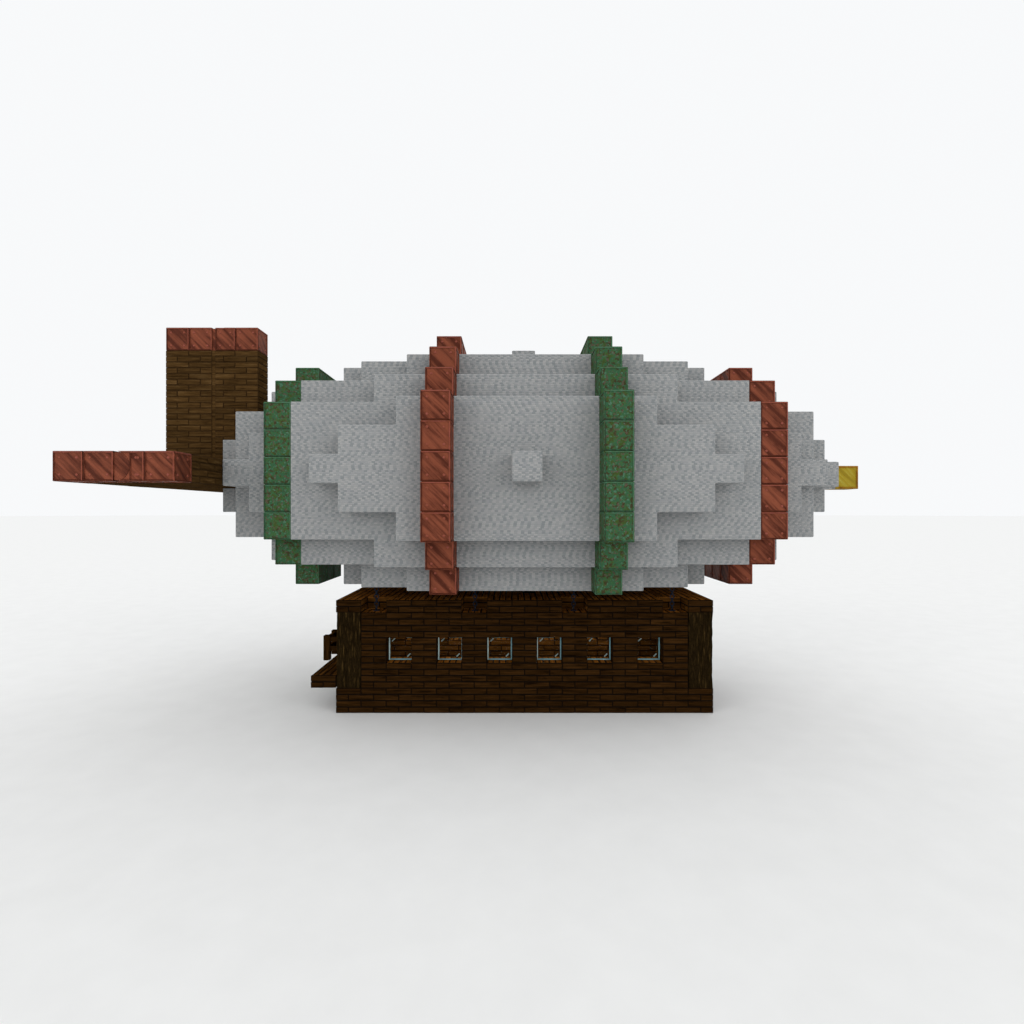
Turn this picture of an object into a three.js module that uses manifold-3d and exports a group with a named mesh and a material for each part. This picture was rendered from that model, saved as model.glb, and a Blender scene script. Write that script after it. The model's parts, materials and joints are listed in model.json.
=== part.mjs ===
// An airship built on a grid of one-metre blocks. A stepped, cloth-covered hull is ringed by
// four plate hoops and carries a plank cabin on nine chains. The plank tail has a hinged
// rudder and two hinged elevators, and the cabin has a door that opens inwards.
// +X is forward, +Y is port and +Z is up. The cabin's flat bottom stands on z = 0.

import * as THREE from 'three';
import { mergeVertices } from 'three/addons/utils/BufferGeometryUtils.js';
import Module from 'manifold-3d';

const wasm = await Module();
wasm.setup();

// Driving dimensions, in millimetres
const BLOCK = 1000;
const HALF_BLOCK = BLOCK / 2;
const HINGE_PIN_GAP = 0.3;
const ROD_SEGMENTS = 32;
const ARC_SEGMENTS = 8;
const OVERCUT = 50;
const MERGE_DISTANCE = 0.001;
const SIDES = { port: 1, starboard: -1 };

// Hull: the blocks whose places lie inside an ellipsoid, counted from its middle block
const HULL_CENTRE = { x: 0.5 * BLOCK, z: 9.5 * BLOCK };
const HULL_REACH = { along: 13, across: 6, up: 5 };
const HULL_TOLERANCE = 1e-9;
const HULL_SECTIONS = [
  { name: 'hull_tail', from: -12, to: -9 },
  { name: 'hull_aft', from: -8, to: -3 },
  { name: 'hull_mid', from: -2, to: 2 },
  { name: 'hull_fore', from: 3, to: 8 },
  { name: 'hull_nose', from: 9, to: 13 },
];

// Hoops: one block long, standing a little proud of the ellipse of the hull there
const HOOP_MARGIN = 0.65;
const HOOPS = [
  { name: 'hoop_green_aft', at: -9, finish: 'verdigris', openBelow: false },
  { name: 'hoop_copper_aft', at: -3, finish: 'copper', openBelow: true },
  { name: 'hoop_green_fore', at: 3, finish: 'verdigris', openBelow: true },
  { name: 'hoop_copper_fore', at: 9, finish: 'copper', openBelow: false },
];

// Tail: the fin and the tailplane are one block thick, and their aft half turns
const HINGE = { x: -13 * BLOCK, z: HULL_CENTRE.z };
const TAIL_CHORD = { fixed: 2 * BLOCK, moving: 2 * BLOCK };
const TAILPLANE_HALF_SPAN = 6.5 * BLOCK;
const TAIL_STUB_HALF_WIDTH = 1.5 * BLOCK;
const FIN_TOP = 16 * BLOCK;
const TIP_DEPTH = BLOCK;
const SURFACE_SWING = THREE.MathUtils.degToRad(25);
const COVE_RADIUS = 510;
const SURFACE_END_GAP = 10;
const SURFACE_PIN = { radius: 100, reach: 400 };

// Cabin: walls one block thick round a bare room, under a half-block roof
const CABIN = { aft: -7 * BLOCK, fore: 8 * BLOCK, halfWidth: 2.5 * BLOCK };
const FLOOR_TOP = BLOCK;
const WALL_TOP = 4 * BLOCK;
const ROOF_TOP = 4.5 * BLOCK;
const HULL_BELLY = 5 * BLOCK;
const WINDOW_SILL = 2 * BLOCK;
const WINDOW = { bar: 62, frameDepth: 126, glassDepth: 20 };
const SIDE_WINDOW_CENTRES = [-4.5, -2.5, -0.5, 1.5, 3.5, 5.5];

// Door: a leaf with a rounded heel that turns on a pivot rod at the inner face
const DOORWAY = { width: BLOCK, top: 3 * BLOCK };
const DOOR = { thickness: 100, heelGap: 10, freeGap: 20, endGap: 10, rodRadius: 20, rodReach: 45 };

// Chains: six links between two pads, fused where the links bear on each other
const CHAIN_ROWS = [-5.5, -1.5, 2.5, 6.5];
const CHAIN_OFFSET = 2 * BLOCK;
const CENTRE_CHAIN_X = 0.5 * BLOCK;
const CHAIN = { links: 6, width: 190, bar: 45, pad: 240, padDepth: 20, bite: 8, segments: 2 };
const CROSS_BAR = { depth: 100, top: 4.1 * BLOCK };

// Balcony: a half-block deck and a post-and-rail fence on each side of the doorway
const DECK = { aft: -8 * BLOCK, top: 1.5 * BLOCK };
const FENCE = { x: -7.5 * BLOCK, post: 250, rail: 125, base: 2 * BLOCK, top: 3 * BLOCK };
const FENCE_POST_ROWS = [1 * BLOCK, 2 * BLOCK];
const FENCE_RAILS = [
  { low: 375, high: 563 },
  { low: 750, high: 938 },
];

const FINISHES = {
  cloth: { color: 0x898b8b, roughness: 0.95, metalness: 0.0 },
  copper: { color: 0x7d4230, roughness: 0.5, metalness: 0.7 },
  verdigris: { color: 0x3e6948, roughness: 0.6, metalness: 0.5 },
  gold: { color: 0x9b821e, roughness: 0.35, metalness: 0.9 },
  finPlank: { color: 0x463219, roughness: 0.8, metalness: 0.0 },
  cabinPlank: { color: 0x28190b, roughness: 0.85, metalness: 0.0 },
  bark: { color: 0x211a0e, roughness: 0.95, metalness: 0.0 },
  glass: { color: 0x7d8c89, roughness: 0.1, metalness: 0.0 },
  iron: { color: 0x1a202c, roughness: 0.5, metalness: 0.8 },
};

// Solids: closed meshes that can be joined and cut
function solidFrom(geometry) {
  geometry.deleteAttribute('normal');
  geometry.deleteAttribute('uv');
  const merged = mergeVertices(geometry, MERGE_DISTANCE);
  return new wasm.Manifold(new wasm.Mesh({
    numProp: 3,
    vertProperties: new Float32Array(merged.attributes.position.array),
    triVerts: new Uint32Array(merged.index.array),
  }));
}

function geometryFrom(solid) {
  const mesh = solid.getMesh();
  const geometry = new THREE.BufferGeometry();
  geometry.setAttribute('position', new THREE.BufferAttribute(mesh.vertProperties, 3));
  geometry.setIndex(new THREE.BufferAttribute(mesh.triVerts, 1));
  geometry.computeVertexNormals();
  return geometry;
}

function join(solids) {
  return solids.reduce((whole, solid) => whole.add(solid));
}

function cut(solid, tools) {
  return tools.reduce((rest, tool) => rest.subtract(tool), solid);
}

function box(xs, ys, zs) {
  const geometry = new THREE.BoxGeometry(xs[1] - xs[0], ys[1] - ys[0], zs[1] - zs[0]);
  geometry.translate((xs[0] + xs[1]) / 2, (ys[0] + ys[1]) / 2, (zs[0] + zs[1]) / 2);
  return solidFrom(geometry);
}

// A shape drawn in X and Y, extruded from one height to another
function prismAlongZ(shape, from, to, segments) {
  const geometry = new THREE.ExtrudeGeometry(shape, {
    depth: to - from,
    bevelEnabled: false,
    curveSegments: segments,
  });
  geometry.translate(0, 0, from);
  return solidFrom(geometry);
}

// A shape drawn in X and Z, extruded from one Y to a greater one
function prismAlongY(shape, from, to, segments) {
  const geometry = new THREE.ExtrudeGeometry(shape, {
    depth: to - from,
    bevelEnabled: false,
    curveSegments: segments,
  });
  geometry.rotateX(Math.PI / 2);
  geometry.translate(0, to, 0);
  return solidFrom(geometry);
}

function rodAlongY(radius, x, z, from, to) {
  const geometry = new THREE.CylinderGeometry(radius, radius, to - from, ROD_SEGMENTS);
  geometry.translate(x, (from + to) / 2, z);
  return solidFrom(geometry);
}

function rodAlongZ(radius, x, y, from, to) {
  const geometry = new THREE.CylinderGeometry(radius, radius, to - from, ROD_SEGMENTS);
  geometry.rotateX(Math.PI / 2);
  geometry.translate(x, y, (from + to) / 2);
  return solidFrom(geometry);
}

// The corner radius of a bore whose flats clear a pin of the given radius
function boreRadius(pinRadius) {
  return (pinRadius + HINGE_PIN_GAP) / Math.cos(Math.PI / ROD_SEGMENTS);
}

function piece(name, finish, solid, parent, position = [0, 0, 0]) {
  const material = new THREE.MeshStandardMaterial(FINISHES[finish]);
  const mesh = new THREE.Mesh(geometryFrom(solid), material);
  mesh.name = name;
  mesh.position.set(...position);
  parent.add(mesh);
}

// A pair of limits that is mirrored to the starboard side
function mirrored(side, near, far) {
  return side > 0 ? [near, far] : [-far, -near];
}

// Hull and hoops, in blocks from the middle block: i along, j across and level up
function insideEllipsoid(i, j, level) {
  const { along, across, up } = HULL_REACH;
  const sum = (i / along) ** 2 + (j / across) ** 2 + (level / up) ** 2;
  return sum <= 1 + HULL_TOLERANCE;
}

// The tail planes take the places of the aftmost blocks, and a chain that of the lowest one
function isTakenByOthers(i, j, level) {
  const isTailplane = i <= -12 && level === 0;
  const isFin = i === -12 && j === 0 && level === 1;
  const isChain = i === 0 && level === -HULL_REACH.up;
  return isTailplane || isFin || isChain;
}

function insideHoopOutline(hoop, j, level) {
  const shrink = Math.sqrt(1 - (hoop.at / HULL_REACH.along) ** 2);
  const across = HULL_REACH.across * shrink + HOOP_MARGIN;
  const up = HULL_REACH.up * shrink + HOOP_MARGIN;
  return (j / across) ** 2 + (level / up) ** 2 <= 1;
}

// A hoop is the rim of its outline, and an open one stops at the edge of the hull's belly
function isHoopBlock(hoop, j, level) {
  if (!insideHoopOutline(hoop, j, level)) {
    return false;
  }
  if (hoop.openBelow) {
    const belly = 1 - HULL_REACH.up;
    if (level < belly) {
      return false;
    }
    if (level === belly && insideEllipsoid(hoop.at, j, level)) {
      return false;
    }
  }
  for (const dj of [-1, 0, 1]) {
    for (const dLevel of [-1, 0, 1]) {
      if (!insideHoopOutline(hoop, j + dj, level + dLevel)) {
        return true;
      }
    }
  }
  return false;
}

// The core that a hoop rings is filled out to the hoop's inner side
function isHullBlock(i, j, level) {
  const hoop = HOOPS.find((candidate) => candidate.at === i);
  if (hoop && isHoopBlock(hoop, j, level)) {
    return false;
  }
  return insideEllipsoid(i, j, level) && !isTakenByOthers(i, j, level);
}

// One slab, a block long, as boxes that each cover a run of neighbouring blocks
function slabBoxes(i, isFilled) {
  const boxes = [];
  const edge = HULL_REACH.across + 1;
  for (let level = -HULL_REACH.up; level <= HULL_REACH.up; level += 1) {
    let start = null;
    for (let j = -edge; j <= edge; j += 1) {
      const filled = isFilled(j, level);
      if (filled && start === null) {
        start = j;
      }
      if (!filled && start !== null) {
        boxes.push(box(
          [i * BLOCK - HALF_BLOCK, i * BLOCK + HALF_BLOCK],
          [start * BLOCK - HALF_BLOCK, j * BLOCK - HALF_BLOCK],
          [level * BLOCK - HALF_BLOCK, level * BLOCK + HALF_BLOCK],
        ));
        start = null;
      }
    }
  }
  return boxes;
}

function buildHull() {
  const hull = new THREE.Group();
  hull.position.set(HULL_CENTRE.x, 0, HULL_CENTRE.z);
  for (const section of HULL_SECTIONS) {
    const boxes = [];
    for (let i = section.from; i <= section.to; i += 1) {
      boxes.push(...slabBoxes(i, (j, level) => isHullBlock(i, j, level)));
    }
    piece(section.name, 'cloth', join(boxes), hull);
  }
  for (const hoop of HOOPS) {
    const boxes = slabBoxes(hoop.at, (j, level) => isHoopBlock(hoop, j, level));
    piece(hoop.name, hoop.finish, join(boxes), hull);
  }
  const block = box([-HALF_BLOCK, HALF_BLOCK], [-HALF_BLOCK, HALF_BLOCK], [-HALF_BLOCK, HALF_BLOCK]);
  piece('nose_block', 'gold', block, hull, [(HULL_REACH.along + 1) * BLOCK, 0, 0]);
  return hull;
}

// Tail, measured from the point where the two hinge lines cross
function movingSectionShape() {
  const shape = new THREE.Shape();
  shape.moveTo(-TAIL_CHORD.moving, -HALF_BLOCK);
  shape.lineTo(0, -HALF_BLOCK);
  shape.absarc(0, 0, HALF_BLOCK, -Math.PI / 2, Math.PI / 2, false);
  shape.lineTo(-TAIL_CHORD.moving, HALF_BLOCK);
  shape.closePath();
  return shape;
}

// What the swinging surface needs: a cove round its nose, and lips eased to its full swing
function coveShape() {
  const lipHeight = HALF_BLOCK + OVERCUT;
  const lipReach = (COVE_RADIUS - lipHeight * Math.cos(SURFACE_SWING)) / Math.sin(SURFACE_SWING);
  const arcEnd = Math.PI / 2 - SURFACE_SWING;
  const shape = new THREE.Shape();
  shape.moveTo(-OVERCUT, -lipHeight);
  shape.lineTo(lipReach, -lipHeight);
  shape.absarc(0, 0, COVE_RADIUS, -arcEnd, arcEnd, false);
  shape.lineTo(lipReach, lipHeight);
  shape.lineTo(-OVERCUT, lipHeight);
  shape.closePath();
  return shape;
}

function buildFin(tail) {
  const foot = HALF_BLOCK;
  const top = FIN_TOP - HINGE.z;
  const capFoot = top - TIP_DEPTH;
  const thickness = [-HALF_BLOCK, HALF_BLOCK];
  const chord = [0, TAIL_CHORD.fixed];
  const cove = prismAlongZ(coveShape(), foot - OVERCUT, top + OVERCUT, ARC_SEGMENTS);
  piece('fin', 'finPlank', box(chord, thickness, [foot, capFoot]).subtract(cove), tail);
  piece('fin_cap', 'copper', box(chord, thickness, [capFoot, top]).subtract(cove), tail);

  const rudderFoot = foot + SURFACE_END_GAP;
  const pin = rodAlongZ(SURFACE_PIN.radius, 0, 0, foot - SURFACE_PIN.reach, rudderFoot + OVERCUT);
  const blade = prismAlongZ(movingSectionShape(), rudderFoot, capFoot, ARC_SEGMENTS);
  piece('rudder', 'finPlank', join([blade, pin]), tail);
  const cap = prismAlongZ(movingSectionShape(), capFoot, top, ARC_SEGMENTS);
  piece('rudder_cap', 'copper', cap, tail);
}

function buildTailplane(tail) {
  const thickness = [-HALF_BLOCK, HALF_BLOCK];
  const chord = [0, TAIL_CHORD.fixed];
  const stubChord = [-TAIL_CHORD.moving, TAIL_CHORD.fixed];
  const tipRoot = TAILPLANE_HALF_SPAN - TIP_DEPTH;
  const stub = box(stubChord, [-TAIL_STUB_HALF_WIDTH, TAIL_STUB_HALF_WIDTH], thickness);
  const boreDepth = SURFACE_PIN.reach + SURFACE_END_GAP;
  const bore = boreRadius(SURFACE_PIN.radius);
  const panels = [];
  const bores = [rodAlongZ(bore, 0, 0, HALF_BLOCK - boreDepth, HALF_BLOCK + OVERCUT)];
  for (const [sideName, side] of Object.entries(SIDES)) {
    const coveSpan = mirrored(side, TAIL_STUB_HALF_WIDTH, TAILPLANE_HALF_SPAN + OVERCUT);
    const cove = prismAlongY(coveShape(), ...coveSpan, ARC_SEGMENTS);
    const panel = box(chord, mirrored(side, TAIL_STUB_HALF_WIDTH, tipRoot), thickness);
    panels.push(panel.subtract(cove));
    const boreSpan = mirrored(side, TAIL_STUB_HALF_WIDTH - boreDepth, TAIL_STUB_HALF_WIDTH + OVERCUT);
    bores.push(rodAlongY(bore, 0, 0, ...boreSpan));
    const tip = box(chord, mirrored(side, tipRoot, TAILPLANE_HALF_SPAN), thickness);
    piece(`tailplane_tip_${sideName}`, 'copper', tip.subtract(cove), tail);

    const root = TAIL_STUB_HALF_WIDTH + SURFACE_END_GAP;
    const pinSpan = mirrored(side, TAIL_STUB_HALF_WIDTH - SURFACE_PIN.reach, root + OVERCUT);
    const pin = rodAlongY(SURFACE_PIN.radius, 0, 0, ...pinSpan);
    const blade = prismAlongY(movingSectionShape(), ...mirrored(side, root, tipRoot), ARC_SEGMENTS);
    piece(`elevator_${sideName}`, 'finPlank', join([blade, pin]), tail);
    const tipSpan = mirrored(side, tipRoot, TAILPLANE_HALF_SPAN);
    const movingTip = prismAlongY(movingSectionShape(), ...tipSpan, ARC_SEGMENTS);
    piece(`elevator_tip_${sideName}`, 'copper', movingTip, tail);
  }
  piece('tailplane', 'finPlank', cut(join([stub, ...panels]), bores), tail);
}

function buildTail() {
  const tail = new THREE.Group();
  tail.position.set(HINGE.x, 0, HINGE.z);
  buildFin(tail);
  buildTailplane(tail);
  return tail;
}

// Cabin
const ROOM = {
  aft: CABIN.aft + BLOCK,
  fore: CABIN.fore - BLOCK,
  halfWidth: CABIN.halfWidth - BLOCK,
};
const DOOR_AXIS = {
  x: ROOM.aft - DOOR.thickness / 2,
  y: -DOORWAY.width / 2 + DOOR.heelGap + DOOR.thickness / 2,
};

// A framed pane standing in the XZ plane, with its middle at the origin
function windowPane() {
  const half = HALF_BLOCK;
  const clear = HALF_BLOCK - WINDOW.bar;
  const frameDepth = [-WINDOW.frameDepth / 2, WINDOW.frameDepth / 2];
  const frame = box([-half, half], frameDepth, [-half, half]).subtract(
    box([-clear, clear], [-WINDOW.frameDepth, WINDOW.frameDepth], [-clear, clear]),
  );
  const overlap = clear + WINDOW.bar / 2;
  const glassDepth = [-WINDOW.glassDepth / 2, WINDOW.glassDepth / 2];
  const glass = box([-overlap, overlap], glassDepth, [-overlap, overlap]);
  return join([frame, glass]);
}

function buildFloorAndPosts(cabin) {
  const width = [-CABIN.halfWidth, CABIN.halfWidth];
  const floor = box([CABIN.aft, CABIN.fore], width, [0, FLOOR_TOP]);
  const bore = rodAlongZ(
    boreRadius(DOOR.rodRadius),
    DOOR_AXIS.x,
    DOOR_AXIS.y,
    FLOOR_TOP - DOOR.rodReach - DOOR.endGap,
    FLOOR_TOP + OVERCUT,
  );
  piece('cabin_floor', 'cabinPlank', floor.subtract(bore), cabin);
  const ends = { aft: CABIN.aft + HALF_BLOCK, fore: CABIN.fore - HALF_BLOCK };
  const across = CABIN.halfWidth - HALF_BLOCK;
  for (const [endName, x] of Object.entries(ends)) {
    for (const [sideName, side] of Object.entries(SIDES)) {
      const half = [-HALF_BLOCK, HALF_BLOCK];
      const post = box(half, half, [FLOOR_TOP, WALL_TOP]);
      piece(`corner_post_${endName}_${sideName}`, 'bark', post, cabin, [x, side * across, 0]);
    }
  }
}

function buildSideWalls(cabin) {
  for (const [sideName, side] of Object.entries(SIDES)) {
    const depth = mirrored(side, ROOM.halfWidth, CABIN.halfWidth);
    const cutDepth = mirrored(side, ROOM.halfWidth - OVERCUT, CABIN.halfWidth + OVERCUT);
    const wall = box([ROOM.aft, ROOM.fore], depth, [FLOOR_TOP, WALL_TOP]);
    const openings = SIDE_WINDOW_CENTRES.map((centre) => box(
      [centre * BLOCK - HALF_BLOCK, centre * BLOCK + HALF_BLOCK],
      cutDepth,
      [WINDOW_SILL, WINDOW_SILL + BLOCK],
    ));
    piece(`side_wall_${sideName}`, 'cabinPlank', cut(wall, openings), cabin);
    const paneY = side * (CABIN.halfWidth - HALF_BLOCK);
    SIDE_WINDOW_CENTRES.forEach((centre, index) => {
      const place = [centre * BLOCK, paneY, WINDOW_SILL + HALF_BLOCK];
      piece(`window_${sideName}_${index + 1}`, 'glass', windowPane(), cabin, place);
    });
  }
}

function buildEndWalls(cabin) {
  const width = [-ROOM.halfWidth, ROOM.halfWidth];
  const height = [FLOOR_TOP, WALL_TOP];
  const openingWidth = [-DOORWAY.width / 2, DOORWAY.width / 2];
  const aftWall = box([CABIN.aft, ROOM.aft], width, height);
  const doorway = box(
    [CABIN.aft - OVERCUT, ROOM.aft + OVERCUT],
    openingWidth,
    [FLOOR_TOP - OVERCUT, DOORWAY.top],
  );
  const bore = rodAlongZ(
    boreRadius(DOOR.rodRadius),
    DOOR_AXIS.x,
    DOOR_AXIS.y,
    DOORWAY.top - OVERCUT,
    DOORWAY.top + DOOR.rodReach + DOOR.endGap,
  );
  piece('aft_wall', 'cabinPlank', cut(aftWall, [doorway, bore]), cabin);

  const foreWall = box([ROOM.fore, CABIN.fore], width, height);
  const opening = box(
    [ROOM.fore - OVERCUT, CABIN.fore + OVERCUT],
    [-HALF_BLOCK, HALF_BLOCK],
    [WINDOW_SILL, WINDOW_SILL + BLOCK],
  );
  piece('fore_wall', 'cabinPlank', foreWall.subtract(opening), cabin);
  const pane = windowPane().rotate([0, 0, 90]);
  const paneX = CABIN.fore - HALF_BLOCK;
  piece('window_fore', 'glass', pane, cabin, [paneX, 0, WINDOW_SILL + HALF_BLOCK]);
}

function buildDoor(cabin) {
  const radius = DOOR.thickness / 2;
  const free = DOORWAY.width / 2 - DOOR.freeGap - DOOR_AXIS.y;
  const shape = new THREE.Shape();
  shape.moveTo(-radius, free);
  shape.lineTo(-radius, 0);
  shape.absarc(0, 0, radius, Math.PI, 2 * Math.PI, false);
  shape.lineTo(radius, free);
  shape.closePath();
  const leaf = prismAlongZ(shape, FLOOR_TOP + DOOR.endGap, DOORWAY.top - DOOR.endGap, ARC_SEGMENTS);
  const rod = rodAlongZ(DOOR.rodRadius, 0, 0, FLOOR_TOP - DOOR.rodReach, DOORWAY.top + DOOR.rodReach);
  piece('door', 'cabinPlank', join([leaf, rod]), cabin, [DOOR_AXIS.x, DOOR_AXIS.y, 0]);
}

// The roof slab is missing over each chain that stands on a side wall, and at the middle one
function buildRoof(cabin) {
  const height = [WALL_TOP, ROOF_TOP];
  const cutHeight = [WALL_TOP - OVERCUT, ROOF_TOP + OVERCUT];
  const slab = box([CABIN.aft, CABIN.fore], [-CABIN.halfWidth, CABIN.halfWidth], height);
  const openings = [box(
    [CENTRE_CHAIN_X - HALF_BLOCK, CENTRE_CHAIN_X + HALF_BLOCK],
    [-HALF_BLOCK, HALF_BLOCK],
    cutHeight,
  )];
  for (const row of CHAIN_ROWS) {
    for (const side of Object.values(SIDES)) {
      openings.push(box(
        [row * BLOCK - HALF_BLOCK, row * BLOCK + HALF_BLOCK],
        mirrored(side, ROOM.halfWidth, CABIN.halfWidth + OVERCUT),
        cutHeight,
      ));
    }
  }
  piece('roof', 'cabinPlank', cut(slab, openings), cabin);
}

function buildBalcony(cabin) {
  const deck = box([DECK.aft, CABIN.aft], [-CABIN.halfWidth, CABIN.halfWidth], [FLOOR_TOP, DECK.top]);
  piece('deck', 'cabinPlank', deck, cabin);
  const [inner, outer] = FENCE_POST_ROWS;
  const halfPost = FENCE.post / 2;
  const halfRail = FENCE.rail / 2;
  for (const [sideName, side] of Object.entries(SIDES)) {
    const solids = [];
    for (const row of FENCE_POST_ROWS) {
      const y = side * row;
      solids.push(box(
        [FENCE.x - halfPost, FENCE.x + halfPost],
        [y - halfPost, y + halfPost],
        [FENCE.base, FENCE.top],
      ));
      for (const rail of FENCE_RAILS) {
        const height = [FENCE.base + rail.low, FENCE.base + rail.high];
        solids.push(box([FENCE.x, CABIN.aft], [y - halfRail, y + halfRail], height));
      }
    }
    for (const rail of FENCE_RAILS) {
      const height = [FENCE.base + rail.low, FENCE.base + rail.high];
      const run = mirrored(side, inner, outer);
      solids.push(box([FENCE.x - halfRail, FENCE.x + halfRail], run, height));
    }
    piece(`rail_${sideName}`, 'cabinPlank', join(solids), cabin);
  }
}

// Chains: every other link is turned a quarter, and each link bites a little into the next
function linkShape(length) {
  const outer = CHAIN.width / 2;
  const inner = outer - CHAIN.bar;
  const straight = length / 2 - outer;
  const ring = (path, radius) => {
    path.moveTo(radius, -straight);
    path.absarc(0, straight, radius, 0, Math.PI, false);
    path.absarc(0, -straight, radius, Math.PI, 2 * Math.PI, false);
    path.closePath();
    return path;
  };
  const shape = ring(new THREE.Shape(), outer);
  shape.holes.push(ring(new THREE.Path(), inner));
  return shape;
}

// A chain that hangs from the hull's belly down to the given depth below it
function chainSolid(drop) {
  const span = drop - 2 * CHAIN.padDepth;
  const pitch = (span + 3 * CHAIN.bite - 2 * CHAIN.bar) / CHAIN.links;
  const length = pitch + 2 * CHAIN.bar - CHAIN.bite;
  const halfPad = CHAIN.pad / 2;
  const pad = [-halfPad, halfPad];
  const solids = [
    box(pad, pad, [-CHAIN.padDepth, 0]),
    box(pad, pad, [-drop, CHAIN.padDepth - drop]),
  ];
  for (let index = 0; index < CHAIN.links; index += 1) {
    const centre = -CHAIN.padDepth + CHAIN.bite - length / 2 - index * pitch;
    const link = prismAlongY(linkShape(length), -CHAIN.bar / 2, CHAIN.bar / 2, CHAIN.segments);
    const turned = index % 2 === 0 ? link : link.rotate([0, 0, 90]);
    solids.push(turned.translate([0, 0, centre]));
  }
  return join(solids);
}

function buildChains() {
  const chains = new THREE.Group();
  chains.position.set(0, 0, HULL_BELLY);
  for (const [sideName, side] of Object.entries(SIDES)) {
    CHAIN_ROWS.forEach((row, index) => {
      const solid = chainSolid(HULL_BELLY - WALL_TOP);
      const place = [row * BLOCK, side * CHAIN_OFFSET, 0];
      piece(`chain_${sideName}_${index + 1}`, 'iron', solid, chains, place);
    });
  }
  // The middle chain ends on a bar that lies across the hole in the roof
  const drop = HULL_BELLY - CROSS_BAR.top;
  const bar = box(
    [-HALF_BLOCK, HALF_BLOCK],
    [-CROSS_BAR.depth / 2, CROSS_BAR.depth / 2],
    [-drop - CROSS_BAR.depth, -drop + CHAIN.padDepth / 2],
  );
  piece('chain_centre', 'iron', join([chainSolid(drop), bar]), chains, [CENTRE_CHAIN_X, 0, 0]);
  return chains;
}

function buildCabin() {
  const cabin = new THREE.Group();
  buildFloorAndPosts(cabin);
  buildSideWalls(cabin);
  buildEndWalls(cabin);
  buildDoor(cabin);
  buildRoof(cabin);
  buildBalcony(cabin);
  return cabin;
}

const airship = new THREE.Group();
airship.add(buildHull());
airship.add(buildTail());
airship.add(buildCabin());
airship.add(buildChains());

export default airship;
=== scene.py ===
import collections
import functools
import json
import math
import random

import bmesh
import bpy
from mathutils import Matrix, Vector

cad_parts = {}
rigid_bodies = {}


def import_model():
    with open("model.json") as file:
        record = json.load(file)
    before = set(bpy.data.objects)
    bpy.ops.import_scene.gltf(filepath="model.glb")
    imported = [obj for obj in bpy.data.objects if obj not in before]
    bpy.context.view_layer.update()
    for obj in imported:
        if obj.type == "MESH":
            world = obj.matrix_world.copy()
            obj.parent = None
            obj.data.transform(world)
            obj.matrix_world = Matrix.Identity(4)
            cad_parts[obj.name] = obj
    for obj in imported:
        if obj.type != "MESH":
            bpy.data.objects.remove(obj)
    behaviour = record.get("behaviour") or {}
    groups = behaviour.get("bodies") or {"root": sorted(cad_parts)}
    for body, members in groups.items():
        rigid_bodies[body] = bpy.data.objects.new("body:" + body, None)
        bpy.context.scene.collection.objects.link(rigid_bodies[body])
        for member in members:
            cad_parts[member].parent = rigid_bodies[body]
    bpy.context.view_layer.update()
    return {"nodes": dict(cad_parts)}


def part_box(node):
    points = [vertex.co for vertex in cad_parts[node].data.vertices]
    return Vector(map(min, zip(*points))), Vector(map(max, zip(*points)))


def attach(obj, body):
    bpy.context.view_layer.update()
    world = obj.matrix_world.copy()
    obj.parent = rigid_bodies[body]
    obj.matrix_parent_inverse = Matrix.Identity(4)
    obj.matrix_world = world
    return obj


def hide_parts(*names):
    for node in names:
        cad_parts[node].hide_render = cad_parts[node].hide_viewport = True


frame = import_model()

# The looks of an airship built on a grid of one-metre blocks: a stepped hull in woven cloth,
# hoops of riveted plate, a plank cabin with bark-covered posts on nine chains, and a plank tail.
# Everything is in metres. +X is forward, +Y is port and +Z is up.

random.seed(7)

TINY = 1e-4
# How much of a normal lies along an axis when its face counts as facing that way
FACING = 0.9
SIDE_MAP_REACH = 50.0
AXES = {"x": 0, "y": 1, "z": 2}
SIDES = {"port": 1, "starboard": -1}
EVERY_SIDE = ["-y", "+y", "-x", "+x", "+z", "-z"]
STEPS = {
    "-x": (-1, 0, 0),
    "+x": (1, 0, 0),
    "-y": (0, -1, 0),
    "+y": (0, 1, 0),
    "-z": (0, 0, -1),
    "+z": (0, 0, 1),
}

# Camera: where the photograph was taken from, and its lens on a 36 mm sensor
CAMERA_PLACE = (0.0, -24.74, 8.0)
CAMERA_LENS = 19.677
CAMERA_SENSOR = 36.0
CAMERA_REACH = 5000

# Light: a weak broad lamp in front and a stronger and broader one from each side, in degrees
# round the airship and above the floor, the sky, small lights inside the cabin, and the floor
LAMPS = [
    {"name": "soft_front", "aside": -12.0, "height": 14.0, "energy": 0.15, "angle": 35.0},
    {"name": "soft_fore", "aside": 47.0, "height": 6.0, "energy": 1.02, "angle": 50.0},
    {"name": "soft_aft", "aside": -47.0, "height": 6.0, "energy": 1.02, "angle": 50.0},
]
LAMP_COLOUR = (1.0, 0.99, 0.97)
SKY_COLOUR = (0.87, 0.88, 0.89, 1.0)
SKY_STRENGTH = 1.08
CABIN_LIGHTS = (-4.5, -1.5, 1.5, 4.5)
CABIN_LIGHT_HEIGHT = 3.7
CABIN_COLOUR = (1.0, 0.96, 0.92)
CABIN_ENERGY = 110
FLOOR_RADIUS = 1500
FLOOR_HEIGHT = -0.002

# Boards: rows a quarter block wide, and boards a metre long whose joints are staggered
BOARD_PITCH = 0.25
BOARD_DEPTH = 0.05
BOARD_ROW_GAP = 0.02
BOARD_END_GAP = 0.01
BOARD_RIM = 0.018
BOARD_UNEVEN = 0.006
BOARD_REVEAL = 0.028

# Tail: how far the stub, the elevators' planks and the rudder's foot are from their centre lines
TAIL_STUB = 1.5
TAIL_PLANKED = 5.5
RUDDER_FOOT = 10.01

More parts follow.
